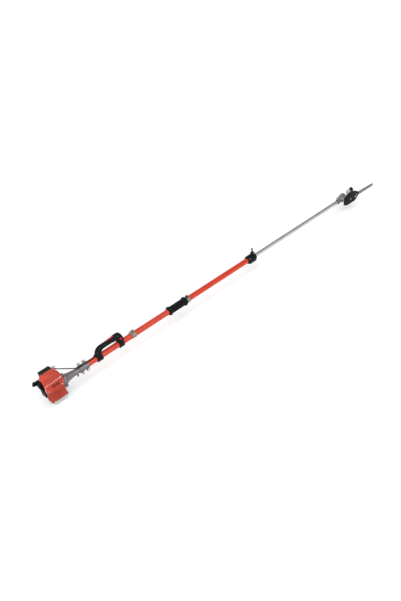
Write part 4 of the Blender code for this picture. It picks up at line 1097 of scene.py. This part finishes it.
def handle():
    """The two halves of the loop handle and their screws."""
    half_width = 12.0
    rings = ((292.0, 331.0), (458.0, 492.0))
    loop = [(293, 90), (293, 108), (298, 125), (307, 139), (320, 149), (338, 153.5), (420, 155.5),
            (434, 161), (450, 164), (474, 163), (486, 157), (495, 140), (503, 112), (501, 90),
            (460, 90), (456, 106), (448, 120), (438, 127), (358, 126), (345, 122), (337, 114),
            (333, 103), (331, 90)]
    outline = fillet(loop, 12, 4)

    def half(name, side):
        """One half; side is -1 for the right one."""
        parts = []
        for x0, x1 in rings:
            parts.append(lathe([(x0, 0), (x0, 26), (x0 + 2, 27.5), (x0 + 7, 27.5), (x0 + 9, 26.4),
                                (x1 - 9, 26.4), (x1 - 7, 27.5), (x1 - 2, 27.5), (x1, 26), (x1, 0)], 72))
            parts.append(box((x0 + 4, -23, AXIS_Z - 9), (x1 - 4, 23, AXIS_Z + 9), 3, 2))
        parts.append(pin(484, 122, -15, 15, 12, 40, 2))
        parts += [pin(x, 126.2, -9, 9, 2.2, 12) for x in range(350, 430, 10)]
        cuts = [rod((280, 0, AXIS_Z), (520, 0, AXIS_Z), OUTER_R + GAP, 96),
                slab(fillet([(404, 108), (462, 108), (462, 150), (404, 150)], 2), -5.5, 5.5, "XZ"),
                slab(fillet([(376, 149), (444, 149), (444, 175), (376, 175)], 2), -6.5, 6.5, "XZ")]
        if side < 0:
            cuts.append(pin(*BUTTON_HOLE, -30, -7, 7.4, 40))
        cuts += [pin(x, z, side * SCREW_FLOOR, side * 30, 3.9) for x, z in HANDLE_SCREWS]
        near, far = sorted((side * 0.15, side * 60))
        loop_bar = slab(outline, -half_width, half_width, "XZ", 6, 4)
        body = solid(loop_bar, add=parts, melted=(1.1, 7), cut=cuts)
        body = solid(body, keep=[box((270, near, 30), (530, far, 190))])
        show(name + "_moulding", body, BLACK, "pole", [name])

    half("handle_near", -1)
    half("handle_far", 1)
    screws = []
    for side in (-1, 1):
        for x, z in HANDLE_SCREWS:
            screws.append(cross_screw((x, side * SCREW_FLOOR, z), (0, side, 0), 3.4, x))
    show("handle_screws", joined(screws), OILED, "pole")


def controls():
    """Lockout lever, throttle trigger and stop button; x and z are each lever's pivot."""
    x, z = 437.0, 153.5
    lever = [(x + 5, z - 3), (x + 5.5, z + 7.5), (x - 10, z + 8), (x - 34, z + 6), (x - 57, z + 3.5),
             (x - 58, z + 2), (x - 24, z + 1.5), (x - 4, z - 3)]
    ribs = []
    for k in range(6):
        spot = x - 46 + 4 * k
        top = z + 4.4 + 0.11 * 4 * k
        ribs.append(pin(spot, top, -4.8, 4.8, 0.9, 12))
    body = solid(slab(fillet(lever, 2.5, 4), -5.8, 5.8, "XZ", 1.6, 4), add=ribs)
    show("lockout_lever_red", body, RED, "lockout", ["lockout_lever"])

    x, z = 452.0, 139.0
    blade = [(x + 6, z), (x + 3, z + 5), (x - 12, z + 4), (x - 38, z - 2), (x - 39, z - 5),
             (x - 27, z - 12), (x - 21, z - 22), (x - 15, z - 23), (x - 8, z - 14), (x + 3, z - 5)]
    grooves = [pin(x - 25.5 + 1.7 * k, z - 14 - 2.6 * k, -6, 6, 0.7, 10) for k in range(4)]
    trigger = solid(slab(fillet(blade, 4, 4), -4.8, 4.8, "XZ", 1.4, 4), cut=grooves)
    show("throttle_trigger_blade", trigger, BLACK, "trigger", ["throttle_trigger"])

    low, high = span("stop_button")
    centre = ((low.x + high.x) / 2, (low.z + high.z) / 2)
    dome = [(low.y, 0), (low.y + 0.25, 3.2), (low.y + 1.0, 5.4), (low.y + 2.4, 6.9), (low.y + 3, 7),
            (high.y, 7), (high.y, 0)]
    show("stop_button_red", lathe(dome, 48, "Y", centre), RED, "stop_switch", ["stop_button"])


# ---------------------------------------------------------------- fittings on the pole

SLING_HOLE = Vector((566, 0, 114))
SLING_BOLT = Vector((580, 0, 113))


def sling_eye():
    """Harness clamp: rolled band, rounded lug, bolt with nut, and the ring."""
    low, high = span("sling_clamp")
    x0, x1 = low.x, high.x
    outer = 21.5
    band = lathe([(x0, outer - 0.9), (x0 + 0.8, outer + 0.5), (x0 + 2.6, outer + 0.5),
                  (x0 + 3.6, outer - 0.4), (x1 - 3.6, outer - 0.4), (x1 - 2.6, outer + 0.5),
                  (x1 - 0.8, outer + 0.5), (x1, outer - 0.9), (x1, OUTER_R + GAP), (x0, OUTER_R + GAP)], 96)
    lug = slab(fillet([(x0 + 2, AXIS_Z + 20), (x0 + 2, high.z - 1), (x0 + 5, high.z), (x1 - 4, high.z),
                       (x1 - 1, high.z - 3), (x1 - 1, AXIS_Z + 20)], 4, 4), -3, 3, "XZ", 0.8)
    slit = box((x0 - 1, -0.5, AXIS_Z + 17), (x1 + 1, 0.5, high.z + 5))
    cuts = [pin(SLING_HOLE.x, SLING_HOLE.z, -8, 8, 3.3, 32),
            pin(SLING_BOLT.x, SLING_BOLT.z, -8, 8, 2.8), slit]
    show("sling_band", solid(band, add=[lug], cut=cuts), PASSIVATED, "pole", ["sling_clamp"])
    nut = upright([(0, 2.5), (0, 4.6, hexagon), (3.6, 4.6, hexagon), (3.6, 2.5)], 48,
                  SLING_BOLT + Vector((0, 3.3, 0)), (0, 1, 0))
    bolt = joined([socket_screw(SLING_BOLT - Vector((0, 3.3, 0)), (0, -1, 0), 4.5, 4.7, 10), nut])
    show("sling_bolt_and_nut", bolt, ZINC, "pole", ["sling_bolt"])
    radius, wire = 10.0, 1.8
    ring = lathe([(h, radius + r) for r, h in arc((0, 0), wire, 0, 337.5, 15)], 56, "Z", (-radius, 0))
    hang = Matrix.Translation(SLING_HOLE) @ Matrix.Rotation(-math.radians(22), 4, "Y")
    show("sling_ring_wire", moved(ring, hang), ZINC, "ring", ["sling_ring"])


def pole_grip():
    """Rubber grip with flutes along it and raised flanges, and the steel collar ahead of it."""
    low, high = span("front_grip")
    x0, x1 = low.x, high.x
    ribs = flutes(36, 0.055)
    flange = [(28.5, 23.6), (27, 23.9), (24, 25.8), (21.5, 28.5), (19, 30.5)]
    profile = [(x0, 21.5), (x0 + 1, 23.2), (x0 + 3, 25), (x0 + 8, 26), (x0 + 9.5, 28.5), (x0 + 12, 30.5)]
    profile += [(x0 + along, radius) for along, radius in reversed(flange)]
    station = x0 + 30
    while station < x1 - 34:
        profile += [(station, 22.8), (station + 0.8, 24.8, ribs), (station + 10.6, 24.8, ribs),
                    (station + 11.4, 22.8)]
        station += 12.6
    profile += [(x1 - along, radius) for along, radius in flange]
    profile += [(x1 - 9, 30.5), (x1 - 6.5, 28.5), (x1 - 5, 26), (x1 - 1, 24.4), (x1, 22.5),
                (x1, OUTER_R + GAP), (x0, OUTER_R + GAP)]
    show("rubber_grip", lathe(profile, 216), RUBBER, "pole", ["front_grip"])

    low, high = span("grip_collar")
    x0, x1 = low.x, high.x
    x, z = (x0 + x1) / 2, high.z - 4.6
    band = lathe([(x0, 22.5), (x0 + 1, 23.5), (x1 - 1, 23.5), (x1, 22.5), (x1, OUTER_R + GAP),
                  (x0, OUTER_R + GAP)], 96)
    foot = AXIS_Z + 18
    outline = [(x0 + 3, foot), (x0 + 3, high.z), (x1 - 3, high.z), (x1 - 3, foot)]
    lug = slab(fillet(outline, 4, 4), -6, 6, "XZ", 1.2)
    slit = box((x0 - 1, -0.9, AXIS_Z + 15), (x1 + 1, 0.9, high.z + 5))
    show("collar_band", solid(band, add=[lug], cut=[slit]), PASSIVATED, "pole", ["grip_collar"])
    wing = box((x - 7, -11.4, high.z - 9.5), (x + 7, -7.2, high.z + 0.2), 1.8, 3)
    show("collar_thumb_screw", joined([wing, pin(x, z, -7.6, -6.2, 4, 28, 0.3)]), BLACK, "pole")
    nut = upright([(0, 0), (0, 3.4, hexagon), (2.6, 3.4, hexagon), (2.6, 0)], 48, (x, 6.2, z), (0, 1, 0))
    show("collar_nut", nut, OILED, "pole")


def length_lock():
    """Moulded clamp on the mouth of the outer tube and its cam lever."""
    low, high = span("lock_body")
    x0, x1 = low.x, high.x
    lever_low, lever_high = span("lock_lever")
    cam_r = 8.5
    px, pz = (lever_low.x + lever_high.x) / 2, lever_low.z + cam_r
    inner_low, inner_high = span("inner_tube")
    inner_r = (inner_high.z - inner_low.z) / 2
    sleeve = [(x0, 0), (x0, 22.5), (x0 + 2, 25), (x0 + 7, 27.5), (x0 + 16, 29.3), (x0 + 30, 29.5),
              (x0 + 38, 29.3), (x1 - 36, 29.3), (x1 - 30, 29.6), (x1 - 9, 29.8), (x1 - 3, 26),
              (x1, 21.5), (x1, 0)]
    parts = [box((px - 12, -13, 96), (px + 12, 13, 113), 3, 2),
             box((x0 + 12, -25, AXIS_Z - 26), (x1 - 12, 25, AXIS_Z - 13), 5, 3)]
    ear = fillet([(px - 11, 104), (px - 11, 121), (px - 6, 127), (px + 6, 127), (px + 11, 121),
                  (px + 11, 104)], 4, 4)
    screws_x = (x0 + 18, x1 - 18)
    screws_z = AXIS_Z - 20
    for sign in (-1, 1):
        parts.append(slab(ear, min(sign * 7, sign * 12), max(sign * 7, sign * 12), "XZ", 1))
        parts += [pin(x, screws_z, sign * 10, sign * 26, 7, 28, 1.5) for x in screws_x]
    for k in range(14):
        rib = box((x0 + 8, -1.3, 26), (x0 + 34, 1.3, 30.6), 1, 2)
        parts.append(round_pole(rib, 90 + 360 / 28 * (k + 0.5)))
    bore = lathe([(x0 - 2, 0), (x0 - 2, OUTER_R + GAP), (POLE_HIGH.x + GAP, OUTER_R + GAP),
                  (POLE_HIGH.x + GAP, inner_r + GAP), (x1 + 2, inner_r + GAP), (x1 + 2, 0)], 96)
    cuts = [bore, pin(px, pz, -20, 20, 2.8), pin(px, pz, -6.8, 6.8, 9.3, 40),
            box((x0 + 2, -30, AXIS_Z - 0.7), (x1 + 5, -15, AXIS_Z + 0.7)),
            box((px - 9.3, -6.8, pz), (px + 40, 6.8, pz + 20))]
    body = solid(lathe(sleeve, 96), add=parts, melted=(0.9, 4), cut=cuts)
    show("length_lock_body", body, BLACK, "pole", ["lock_body"])
    screws = []
    for x in screws_x:
        screws.append(socket_screw((x, -26.1, screws_z), (0, -1, 0), 4.6, 3.2))
        screws.append(hex_nut((x, 26.1, screws_z), (0, 1, 0), 7.5, 3.6))
    screws.append(cross_screw((x0 + 12, -24.5, AXIS_Z + 17), (0, -0.82, 0.57), 3.2))
    show("lock_screws", joined(screws), ZINC, "pole")
    axle = lathe([(-13.2, 0), (-13.2, 3.6), (-12.2, 3.8), (-12.1, 2.5), (12.1, 2.5), (12.2, 3.8),
                  (13.2, 3.6), (13.2, 0)], 40, "Y", (px, pz))
    show("cam_pin", axle, ZINC, "pole", ["lock_pin"])

    top = lever_high.z
    cam = lathe([(-6.4, 0), (-6.4, cam_r - 0.4), (-5.9, cam_r), (5.9, cam_r), (6.4, cam_r - 0.4),
                 (6.4, 0)], 56, "Y", (px, pz))
    stem = lathe([(pz + 4, 0), (pz + 4, 5.8), (pz + 9, 5.4), (pz + 16, 4.9), (top - 11, 4.6),
                  (top - 10.5, 5.8), (top - 9.5, 6.8), (top - 3, 6.8), (top - 1, 6.0), (top, 4.4),
                  (top, 0)], 48, "Z", (px, 0))
    lever = solid(cam, add=[stem], cut=[pin(px, pz, -9, 9, 2.8)])
    show("cam_lever_arm", lever, BLACK, "cam_lever", ["lock_lever"])


# ---------------------------------------------------------------- saw head

HEAD_BOLT = (2651, 110)          # x and z of the screw through the tube socket


def gear_case():
    """Bevel-gear casting with the tube socket, its clamp ears and the bar pad."""
    low, high = span("gear_case")
    shaft_low, shaft_high = span("sprocket_shaft")
    sx, sz = (shaft_low.x + shaft_high.x) / 2, (shaft_low.z + shaft_high.z) / 2
    inner_end = span("inner_tube")[1].x
    x0 = low.x
    corners = [(sx + x, z) for x, z in ((-26, 66), (19, 66), (19, 106), (-26, 106))]
    socket = [(x0, 0), (x0, 18.5), (x0 + 1, 19.3), (x0 + 4, 19.3), (x0 + 5.5, 18.2),
              (x0 + 34, 18.2), (x0 + 40, 21), (x0 + 58, 24), (x0 + 58, 0)]
    drum = [(-29, 0), (-29, 25), (-25, 27), (17, 27), (22, 24), (23.5, 14), (23.5, 0)]
    parts = [box((sx - 32, -29.5, 61), (sx + 25, 21.5, 111), 9, 4),
             lathe(drum, 64, "Y", (sx, sz)),
             box((sx - 44, -13.5, 96), (sx + 6, 11.5, 129.5), 6, 3),
             box((sx - 40, -10, 100), (sx - 14, 8, high.z), 4, 3),
             box((2738, -34, 64), (2806, -8, 106), 6, 3),
             box((2696, low.y, 64), (2808, -26, 102), 2, 2),
             box((x0, -10, AXIS_Z), (x0 + 22, 10, 118), 3, 2),
             box((x0, -8, 62), (x0 + 22, 8, AXIS_Z), 3, 2)]
    for k in range(5):
        turn = Matrix.Translation((sx, 0, sz)) @ Matrix.Rotation(math.radians(-50 + 50 * k), 4, "Y")
        parts.append(moved(box((-1.2, -26, 24), (1.2, 18, 29), 0.8, 1), turn))
    parts += [pin(x, z, -28, 22.5, 5, 24, 1) for x, z in corners]
    cuts = [rod((x0 - 5, 0, AXIS_Z), (inner_end + 1, 0, AXIS_Z), 14.3, 72),
            rod((2660, 0, AXIS_Z), (2712, 0, AXIS_Z), 9.8, 40), pin(sx, sz, -28, 17, 14, 48),
            pin(sx, sz, -50, 17, 6.5, 40), pin(*HEAD_BOLT, -20, 20, 2.8),
            box((x0 - 2, -0.9, AXIS_Z + 10), (x0 + 24, 0.9, 125)),
            box((x0 - 2, -0.9, 55), (x0 + 24, 0.9, AXIS_Z - 10))]
    case = solid(lathe(socket, 72), add=parts, melted=(0.9, 4), cut=cuts)
    show("gear_case_casting", case, HEAD_CAST, "saw_head", ["gear_case"])
    screws = [socket_screw((x, 22.6, z), (0, 1, 0), 3.7, 3.4) for x, z in corners]
    cap = [(23.2, 0), (23.2, 11), (25.5, 11), (26.5, 10), (26.5, 4), (25.6, 3.6), (25.6, 0)]
    screws.append(lathe(cap, 48, "Y", (sx, sz)))
    screws.append(hex_nut((sx - 20, -3, high.z - 0.3), (0, 0, 1), 8, 3.8))
    show("gear_case_screws", joined(screws), ZINC, "saw_head")
    x, z = HEAD_BOLT
    bolt = joined([socket_screw((x, -10.4, z), (0, -1, 0), 4.9, 4.6, 20),
                   hex_nut((x, 10.3, z), (0, 1, 0), 8, 4)])
    show("socket_bolt", bolt, ZINC, "saw_head", ["head_bolt"])
    # a black rubber lip closes the joint between tube and socket
    lip = lathe([(x0 - 3.4, 14.4), (x0 - 3.4, 16.2), (x0 - 2.6, 17), (x0 - 0.4, 17), (x0 - 0.4, 14.4)], 72)
    show("socket_seal", lip, RUBBER, "saw_head")


SPROCKET_R = 11.0
NOSE_R = 5.6
NOSE_Z = 77.0
CHAIN_MIDDLE = -45.1             # y of the chain's centre plane
PITCH = 9.525                    # mean distance between rivets


class Loop:
    """The closed path of the chain round the sprocket and the bar's nose, grown by an offset."""

    def __init__(self, offset):
        """Lay two arcs; the straight runs lie between their ends."""
        shaft_low, shaft_high = span("sprocket_shaft")
        sprocket = ((shaft_low.x + shaft_high.x) / 2, (shaft_low.z + shaft_high.z) / 2)
        nose = (span("guide_bar")[1].x - NOSE_R + GAP, NOSE_Z)
        big, small = SPROCKET_R + offset, NOSE_R + offset
        run, drop = nose[0] - sprocket[0], nose[1] - sprocket[1]
        lean = math.degrees(math.atan2(drop, run))
        spread = math.degrees(math.asin((big - small) / math.hypot(run, drop)))
        self.front = arc(nose, small, lean - 90 + spread, lean + 90 - spread, 24)
        self.rear = arc(sprocket, big, lean + 90 - spread, lean + 270 + spread, 32)
        self.points = [Vector(p) for p in self.front + self.rear]
        after = self.points[1:] + self.points[:1]
        self.steps = [(end - start).length for start, end in zip(self.points, after)]
        self.length = sum(self.steps)

    def at(self, distance):
        """The point at a distance along the path."""
        distance %= self.length
        for i, step in enumerate(self.steps):
            if distance <= step:
                after = self.points[(i + 1) % len(self.points)]
                return self.points[i].lerp(after, distance / max(step, 1e-9))
            distance -= step
        return self.points[0].copy()

    def cut_at(self, x):
        """The outline ahead of a station on the bar."""
        top, bottom = self.front[-1], self.front[0]
        ends = []
        for end, start in ((top, self.rear[0]), (bottom, self.rear[-1])):
            share = (x - end[0]) / (start[0] - end[0])
            ends.append((x, end[1] + share * (start[1] - end[1])))
        return self.front + [ends[0], ends[1]]


def guide_bar():
    """Laminated bar: two ground side plates on a core that leaves the chain's groove."""
    start = span("guide_bar")[0].x
    plates = []
    cuts = [slab(stadium((2776, 81.8), 60, 8.4, -1.2, 8), -60, -30, "XZ"),
            pin(2752, 89, -60, -30, 1.6, 20), pin(2752, 74.5, -60, -30, 1.6, 20)]
    outline = fillet(Loop(-GAP).cut_at(start), 3, 3)
    for side in (-1, 1):
        a, b = CHAIN_MIDDLE + side * 0.75, CHAIN_MIDDLE + side * 1.6
        plates.append(slab(outline, min(a, b), max(a, b), "XZ", 0.22, 2))
    core = fillet(Loop(-3.4).cut_at(start + 2), 2, 3)
    core = slab(core, CHAIN_MIDDLE - 0.75, CHAIN_MIDDLE + 0.75, "XZ")
    bar = solid(plates[0], add=[core, plates[1]], cut=cuts)
    show("guide_bar_plates", bar, BAR_STEEL, "saw_head", ["guide_bar"])
    front = Loop(0).front
    nose = (Vector(front[0]) + Vector(front[-1])) / 2
    profile = [(-0.3, 0), (-0.3, 1.5), (0.12, 1.5), (0.25, 1.1), (0.25, 0)]
    rivets = []
    for dx, dz in ((0, 0), (-14, 2.6), (-14, -2.2), (-26, 0.4), (-120, 0.6), (-128, 0.7)):
        for side in (-1, 1):
            spot = (nose.x + dx, CHAIN_MIDDLE + side * 1.6, nose.y + dz)
            rivets.append(upright(profile, 20, spot, (0, side, 0)))
    show("bar_rivets", joined(rivets), ZINC, "saw_head")


def saw_chain():
    """Drive links, tie straps and cutters riveted into one loop, a pitch at a time."""
    loop = Loop(2.7)
    count = 2 * round(loop.length / PITCH / 2)
    step = loop.length / count
    drive = fillet([(-6.6, 0.9), (-5.2, 2.6), (5.2, 2.6), (6.6, 0.9), (6.0, -1.6), (2.4, -2.6),
                    (1.2, -4.8), (-0.6, -5.2), (-2.4, -2.8), (-6.0, -1.6)], 1.2, 2)
    foot = [(6.2, -2.2), (2.2, -1.9), (-2.2, -1.9), (-6.2, -2.2)]
    strap = fillet([(-7.0, 0), (-6.2, 2.4), (-2.4, 2.1), (2.4, 2.1), (6.2, 2.4), (7.0, 0), *foot], 1.4, 2)
    cutter = fillet([(-7.0, 0), (-6.8, 2.9), (-5.4, 3.7), (1.0, 4.2), (1.9, 3.6), (1.2, 2.2),
                     (3.0, 2.0), (3.9, 3.5), (5.6, 3.5), (7.0, 1.4), *foot], 0.7, 2)
    roof = [(-6.6, 2.9), (-5.6, 3.7), (1.2, 4.3), (1.6, 3.8), (-5.4, 3.0)]
    rivet = [(-2.15, 0), (-2.15, 1.3), (-1.8, 1.7), (1.8, 1.7), (2.15, 1.3), (2.15, 0)]
    parts = []

    def place(outline, y0, y1, edge, index):
        """Add a plate between two rivets; it may run from y1 to y0."""
        bm = slab(outline, min(y0, y1), max(y0, y1), "XZ", edge, 1)
        here, after = loop.at(index * step), loop.at((index + 1) * step)
        middle = (here + after) / 2
        along = (after - here).normalized()
        turn = Matrix(((-along.x, 0, along.y, middle.x), (0, 1, 0, CHAIN_MIDDLE),
                       (-along.y, 0, -along.x, middle.y), (0, 0, 0, 1)))
        parts.append(moved(bm, turn))

    for index in range(count):
        if index % 2 == 0:
            place(drive, -0.6, 0.6, 0.15, index)
        else:
            for side, turn_with in ((-1, 1), (1, 3)):
                has_tooth = (index // 2) % 4 == turn_with
                place(cutter if has_tooth else strap, 0.75 * side, 1.75 * side, 0.15, index)
                if has_tooth:
                    place(roof, -0.9 * side, 2.2 * side, 0.12, index)
        spot = loop.at(index * step)
        parts.append(shifted(lathe(rivet, 14, "Y", (0, 0)), spot.x, CHAIN_MIDDLE, spot.y))
    show("saw_chain_links", joined(parts), OILED, "saw_head", ["saw_chain"])


def sprocket_cover():
    """Black side cover with a stiffening rim, ribs and its nut."""
    low, high = span("sprocket_cover")
    outline = [(2655, 66), (2664, 55), (2690, 50), (2780, 49), (2800, 57), (2832, 79), (2843, 91),
               (2843, 99), (2826, 113), (2802, 126), (2779, 131), (2740, 131), (2705, 124),
               (2678, 111), (2658, 91)]
    rounded_outline = fillet(outline, 60, 5)
    middle = Vector((2746, 88))

    def drawn_in(distance):
        """The outline drawn towards the middle."""
        points = (Vector(p) for p in rounded_outline)
        return [tuple(p + (middle - p).normalized() * distance) for p in points]

    nut_low, nut_high = span("cover_nut")
    nut = Vector(((nut_low.x + nut_high.x) / 2, (nut_low.z + nut_high.z) / 2))
    face = low.y
    dish = slab(drawn_in(9), face - 5, face + 1.4, "XZ")
    cuts = [slab(drawn_in(3.2), face + 2.9, -30, "XZ"), box((2770, -50, 58), (2860, -30, 99)),
            box((2640, -50, 70), (2690, -30, 100)), pin(nut.x, nut.y, -70, -50, 4, 32)]
    shell = solid(slab(rounded_outline, face, high.y, "XZ", 4.0, 5), cut=[*cuts, dish])
    show("side_cover", shell, BLACK, "saw_head", ["sprocket_cover"])
    ribs = []
    for ends in (((2676, 62), (2700, 104)), ((2690, 58), (2724, 112)), ((2712, 56), (2748, 118)),
                 ((2826, 92), (2808, 112)), ((2760, 58), (2780, 122))):
        a, b = (Vector(end) for end in ends)
        along = (b - a).normalized()
        across = Vector((-along.y, along.x)) * 1.3
        corners = [tuple(corner) for corner in (a + across, b + across, b - across, a - across)]
        ribs.append(slab(fillet(corners, 1.2, 3), face + 0.2, face + 2.0, "XZ", 0.7, 2))
    boss = [(face - 0.2, 0), (face - 0.2, 13), (face + 0.4, 14), (face + 2.2, 14.5), (face + 2.2, 0)]
    hub = [(face - 0.6, 0), (face - 0.6, 9), (face + 0.2, 10.5), (face + 2.2, 11), (face + 2.2, 0)]
    hub = lathe(hub, 56, "Y", (2727, 87))
    plate = solid(lathe(boss, 56, "Y", (nut.x, nut.y)), cut=[pin(nut.x, nut.y, -70, -50, 4.2, 32)])
    show("side_cover_ribs", joined([*ribs, plate, hub]), BLACK, "saw_head")
    nut_shape = hex_nut((nut.x, face - 0.3, nut.y), (0, -1, 0), 12.5, 5.6, 1.6)
    show("bar_nut", nut_shape, ZINC, "saw_head", ["cover_nut"])
    slot = slab(stadium((2807, 93), 17, 6.5, 62, 6), face + 0.2, face + 1.8, "XZ", 0.5, 2)
    trim = [cross_screw((2727, face - 0.6, 87), (0, -1, 0), 6.4, 15), slot]
    show("side_cover_screw", joined(trim), ZINC, "saw_head")


def oil_tank():
    """Milky oil tank on the head, the oil in it and its big black cap."""
    x0, x1, wall = 2748, 2812, 2.5
    cap = Vector((2793.0, -21.0, 135.0))
    axis = Vector((0.0, -0.70710678, 0.70710678))
    outline = [(-28, 112.5), (-28, 126.7), (-14.7, 140), (-4, 140), (-4, 112.5)]
    body = slab(fillet(outline, 4, 4), x0, x1, "YZ", 4, 4)
    neck = rod(cap - axis * 12, cap - axis * GAP, 14, 48, 0.5)
    inner = [(-25.5, 115), (-25.5, 125.7), (-13.5, 137.5), (-6.5, 137.5), (-6.5, 115)]
    hollow = slab(fillet(inner, 3, 3), x0 + wall, x1 - wall, "YZ", 3, 3)
    mouth = rod(cap - axis * 13, cap + axis * 5, 9, 40)
    seam = box((2778.6, -28.5, 112), (2780.4, -3.5, 128), 0.6, 1)
    feet = [box((x, -24, 108.5), (x + 9, -8, 114), 1.2, 2) for x in (2752, 2797)]
    shell = solid(body, add=[neck, seam, *feet], cut=[hollow, mouth])
    show("oil_tank_shell", shell, TANK, "saw_head", ["oil_tank"])
    level = fillet([(-25, 115.4), (-25, 124), (-7, 124), (-7, 115.4)], 2.5, 3)
    oil = slab(level, x0 + 3, x1 - 3, "YZ", 2.4, 2)
    show("bar_oil", oil, PETROL, "saw_head")
    ribs = flutes(20, 0.07)
    plug = [(-6, 0), (-6, 8.4), (0.4, 8.4), (0.5, 15), (1.2, 16.4, ribs), (7.0, 16.4, ribs),
            (8.6, 14.6, ribs), (8.8, 12.2), (7.6, 11.6), (7.6, 0)]
    wing = slab(fillet([(-11, -2.2), (11, -2.2), (11, 2.2), (-11, 2.2)], 2.1, 4), 6, 10.4, "XY", 1.2, 3)
    show("oil_filler", aim(solid(lathe(plug, 120, "Z", (0, 0)), add=[wing]), cap, axis), BLACK,
         "oil_filler_cap", ["oil_cap"])


# ---------------------------------------------------------------- CAD pieces that stay

def cad_materials():
    """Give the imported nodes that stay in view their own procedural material."""
    kept = {
        CAST: ("carburetor",),
        ZINC: ("crankshaft", "clutch_shoes", "clutch_drum", "connecting_rod", "sprocket_shaft"),
        ALUMINIUM: ("piston",),
        BAR_STEEL: ("lower_shaft", "upper_shaft"),
        NYLON: ("guide_bush", "inner_bush", "starter_pulley"),
        BLACK: ("choke_lever",),
        RUBBER: ("primer_bulb",),
        CERAMIC: ("spark_plug",),
        FELT: ("filter_element",),
    }
    for surface, names in kept.items():
        for name in names:
            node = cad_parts[name]
            node.data.materials.clear()
            node.data.materials.append(surface.material)


# ---------------------------------------------------------------- studio

def softbox(name, spot, target, size, power, tint=(1, 1, 1)):
    """A rectangular lamp that faces a target; sizes in metres, power in watts."""
    data = bpy.data.lights.new(name, "AREA")
    data.shape = "RECTANGLE"
    data.size, data.size_y = size
    data.energy = power
    data.color = tint
    obj = bpy.data.objects.new(name, data)
    obj.location = spot
    obj.rotation_mode = "QUATERNION"
    obj.rotation_quaternion = (Vector(target) - Vector(spot)).to_track_quat("-Z", "Y")
    bpy.context.scene.collection.objects.link(obj)


def pale_surround():
    """A world that is white near the horizon and dimmer overhead."""
    world = bpy.data.worlds.new("studio")
    world.use_nodes = True
    tree = world.node_tree
    background = tree.nodes["Background"]
    background.inputs["Color"].default_value = (0.97, 0.985, 1.0, 1.0)
    direction = tree.nodes.new("ShaderNodeTexCoord")
    parts = tree.nodes.new("ShaderNodeSeparateXYZ")
    fall = tree.nodes.new("ShaderNodeMapRange")
    fall.interpolation_type = "SMOOTHSTEP"
    for name, number in (("From Min", 0.2), ("From Max", 0.6), ("To Min", 1.0), ("To Max", 0.3)):
        fall.inputs[name].default_value = number
    tree.links.new(direction.outputs["Generated"], parts.inputs["Vector"])
    tree.links.new(parts.outputs["Z"], fall.inputs["Value"])
    tree.links.new(fall.outputs["Result"], background.inputs["Strength"])
    return world


def studio():
    """A pale floor, a pale world, four soft lamps and a very soft sun."""
    bm = bmesh.new()
    bmesh.ops.create_grid(bm, x_segments=4, y_segments=4, size=90.0)
    mesh = bpy.data.meshes.new("floor")
    bm.to_mesh(mesh)
    bm.free()
    floor = bpy.data.objects.new("floor", mesh)
    floor.location = (1.5, 0, -0.001)
    mesh.materials.append(pale_floor().material)
    bpy.context.scene.collection.objects.link(floor)
    bpy.context.scene.world = pale_surround()
    softbox("key", (-0.8, -2.6, 3.6), (1.3, 0, 0.1), (3.0, 0.8), 9, (1.0, 0.985, 0.96))
    softbox("overhead", (1.6, 0.6, 3.4), (1.5, 0, 0.1), (4.5, 0.35), 8)
    softbox("strip", (0.9, -2.6, 1.45), (0.6, 0, 0.1), (3.2, 0.12), 22)
    softbox("back", (3.6, 3.4, 2.2), (1.6, 0, 0.1), (3.0, 1.2), 9, (0.94, 0.97, 1.0))
    data = bpy.data.lights.new("soft_sky", "SUN")
    data.energy = 1.85
    data.angle = math.radians(95)
    obj = bpy.data.objects.new("soft_sky", data)
    obj.rotation_mode = "QUATERNION"
    obj.rotation_quaternion = Vector((0.35, 0.4, -1.0)).to_track_quat("-Z", "Y")
    bpy.context.scene.collection.objects.link(obj)


def camera():
    """The photograph's camera, from the solved distance, aim and focal length."""
    data = bpy.data.cameras.new("camera")
    data.sensor_fit = "VERTICAL"
    data.sensor_height = 36.0
    data.lens = FOCAL_PIXELS / IMAGE_HEIGHT * data.sensor_height
    data.clip_end = 60
    obj = bpy.data.objects.new("camera", data)
    obj.location = CAMERA_SPOT
    look = (CAMERA_AIM - CAMERA_SPOT).to_track_quat("-Z", "Y").to_matrix()
    obj.rotation_euler = (look @ Matrix.Rotation(CAMERA_ROLL, 3, "Z")).to_euler()
    bpy.context.scene.collection.objects.link(obj)
    bpy.context.scene.camera = obj
    bpy.context.scene.view_settings.view_transform = "Standard"


camera()
studio()
cad_materials()
pole_tubes()
engine_cover()
muffler_guard()
crankcase()
muffler()
cylinder_barrel()
flywheel_rotor()
heat_baffle()
filter_cover()
fuel_tank()
starter()
throttle_cable()
clutch_housing()
tube_clamp()
handle()
controls()
sling_eye()
pole_grip()
length_lock()
gear_case()
guide_bar()
saw_chain()
sprocket_cover()
oil_tank()
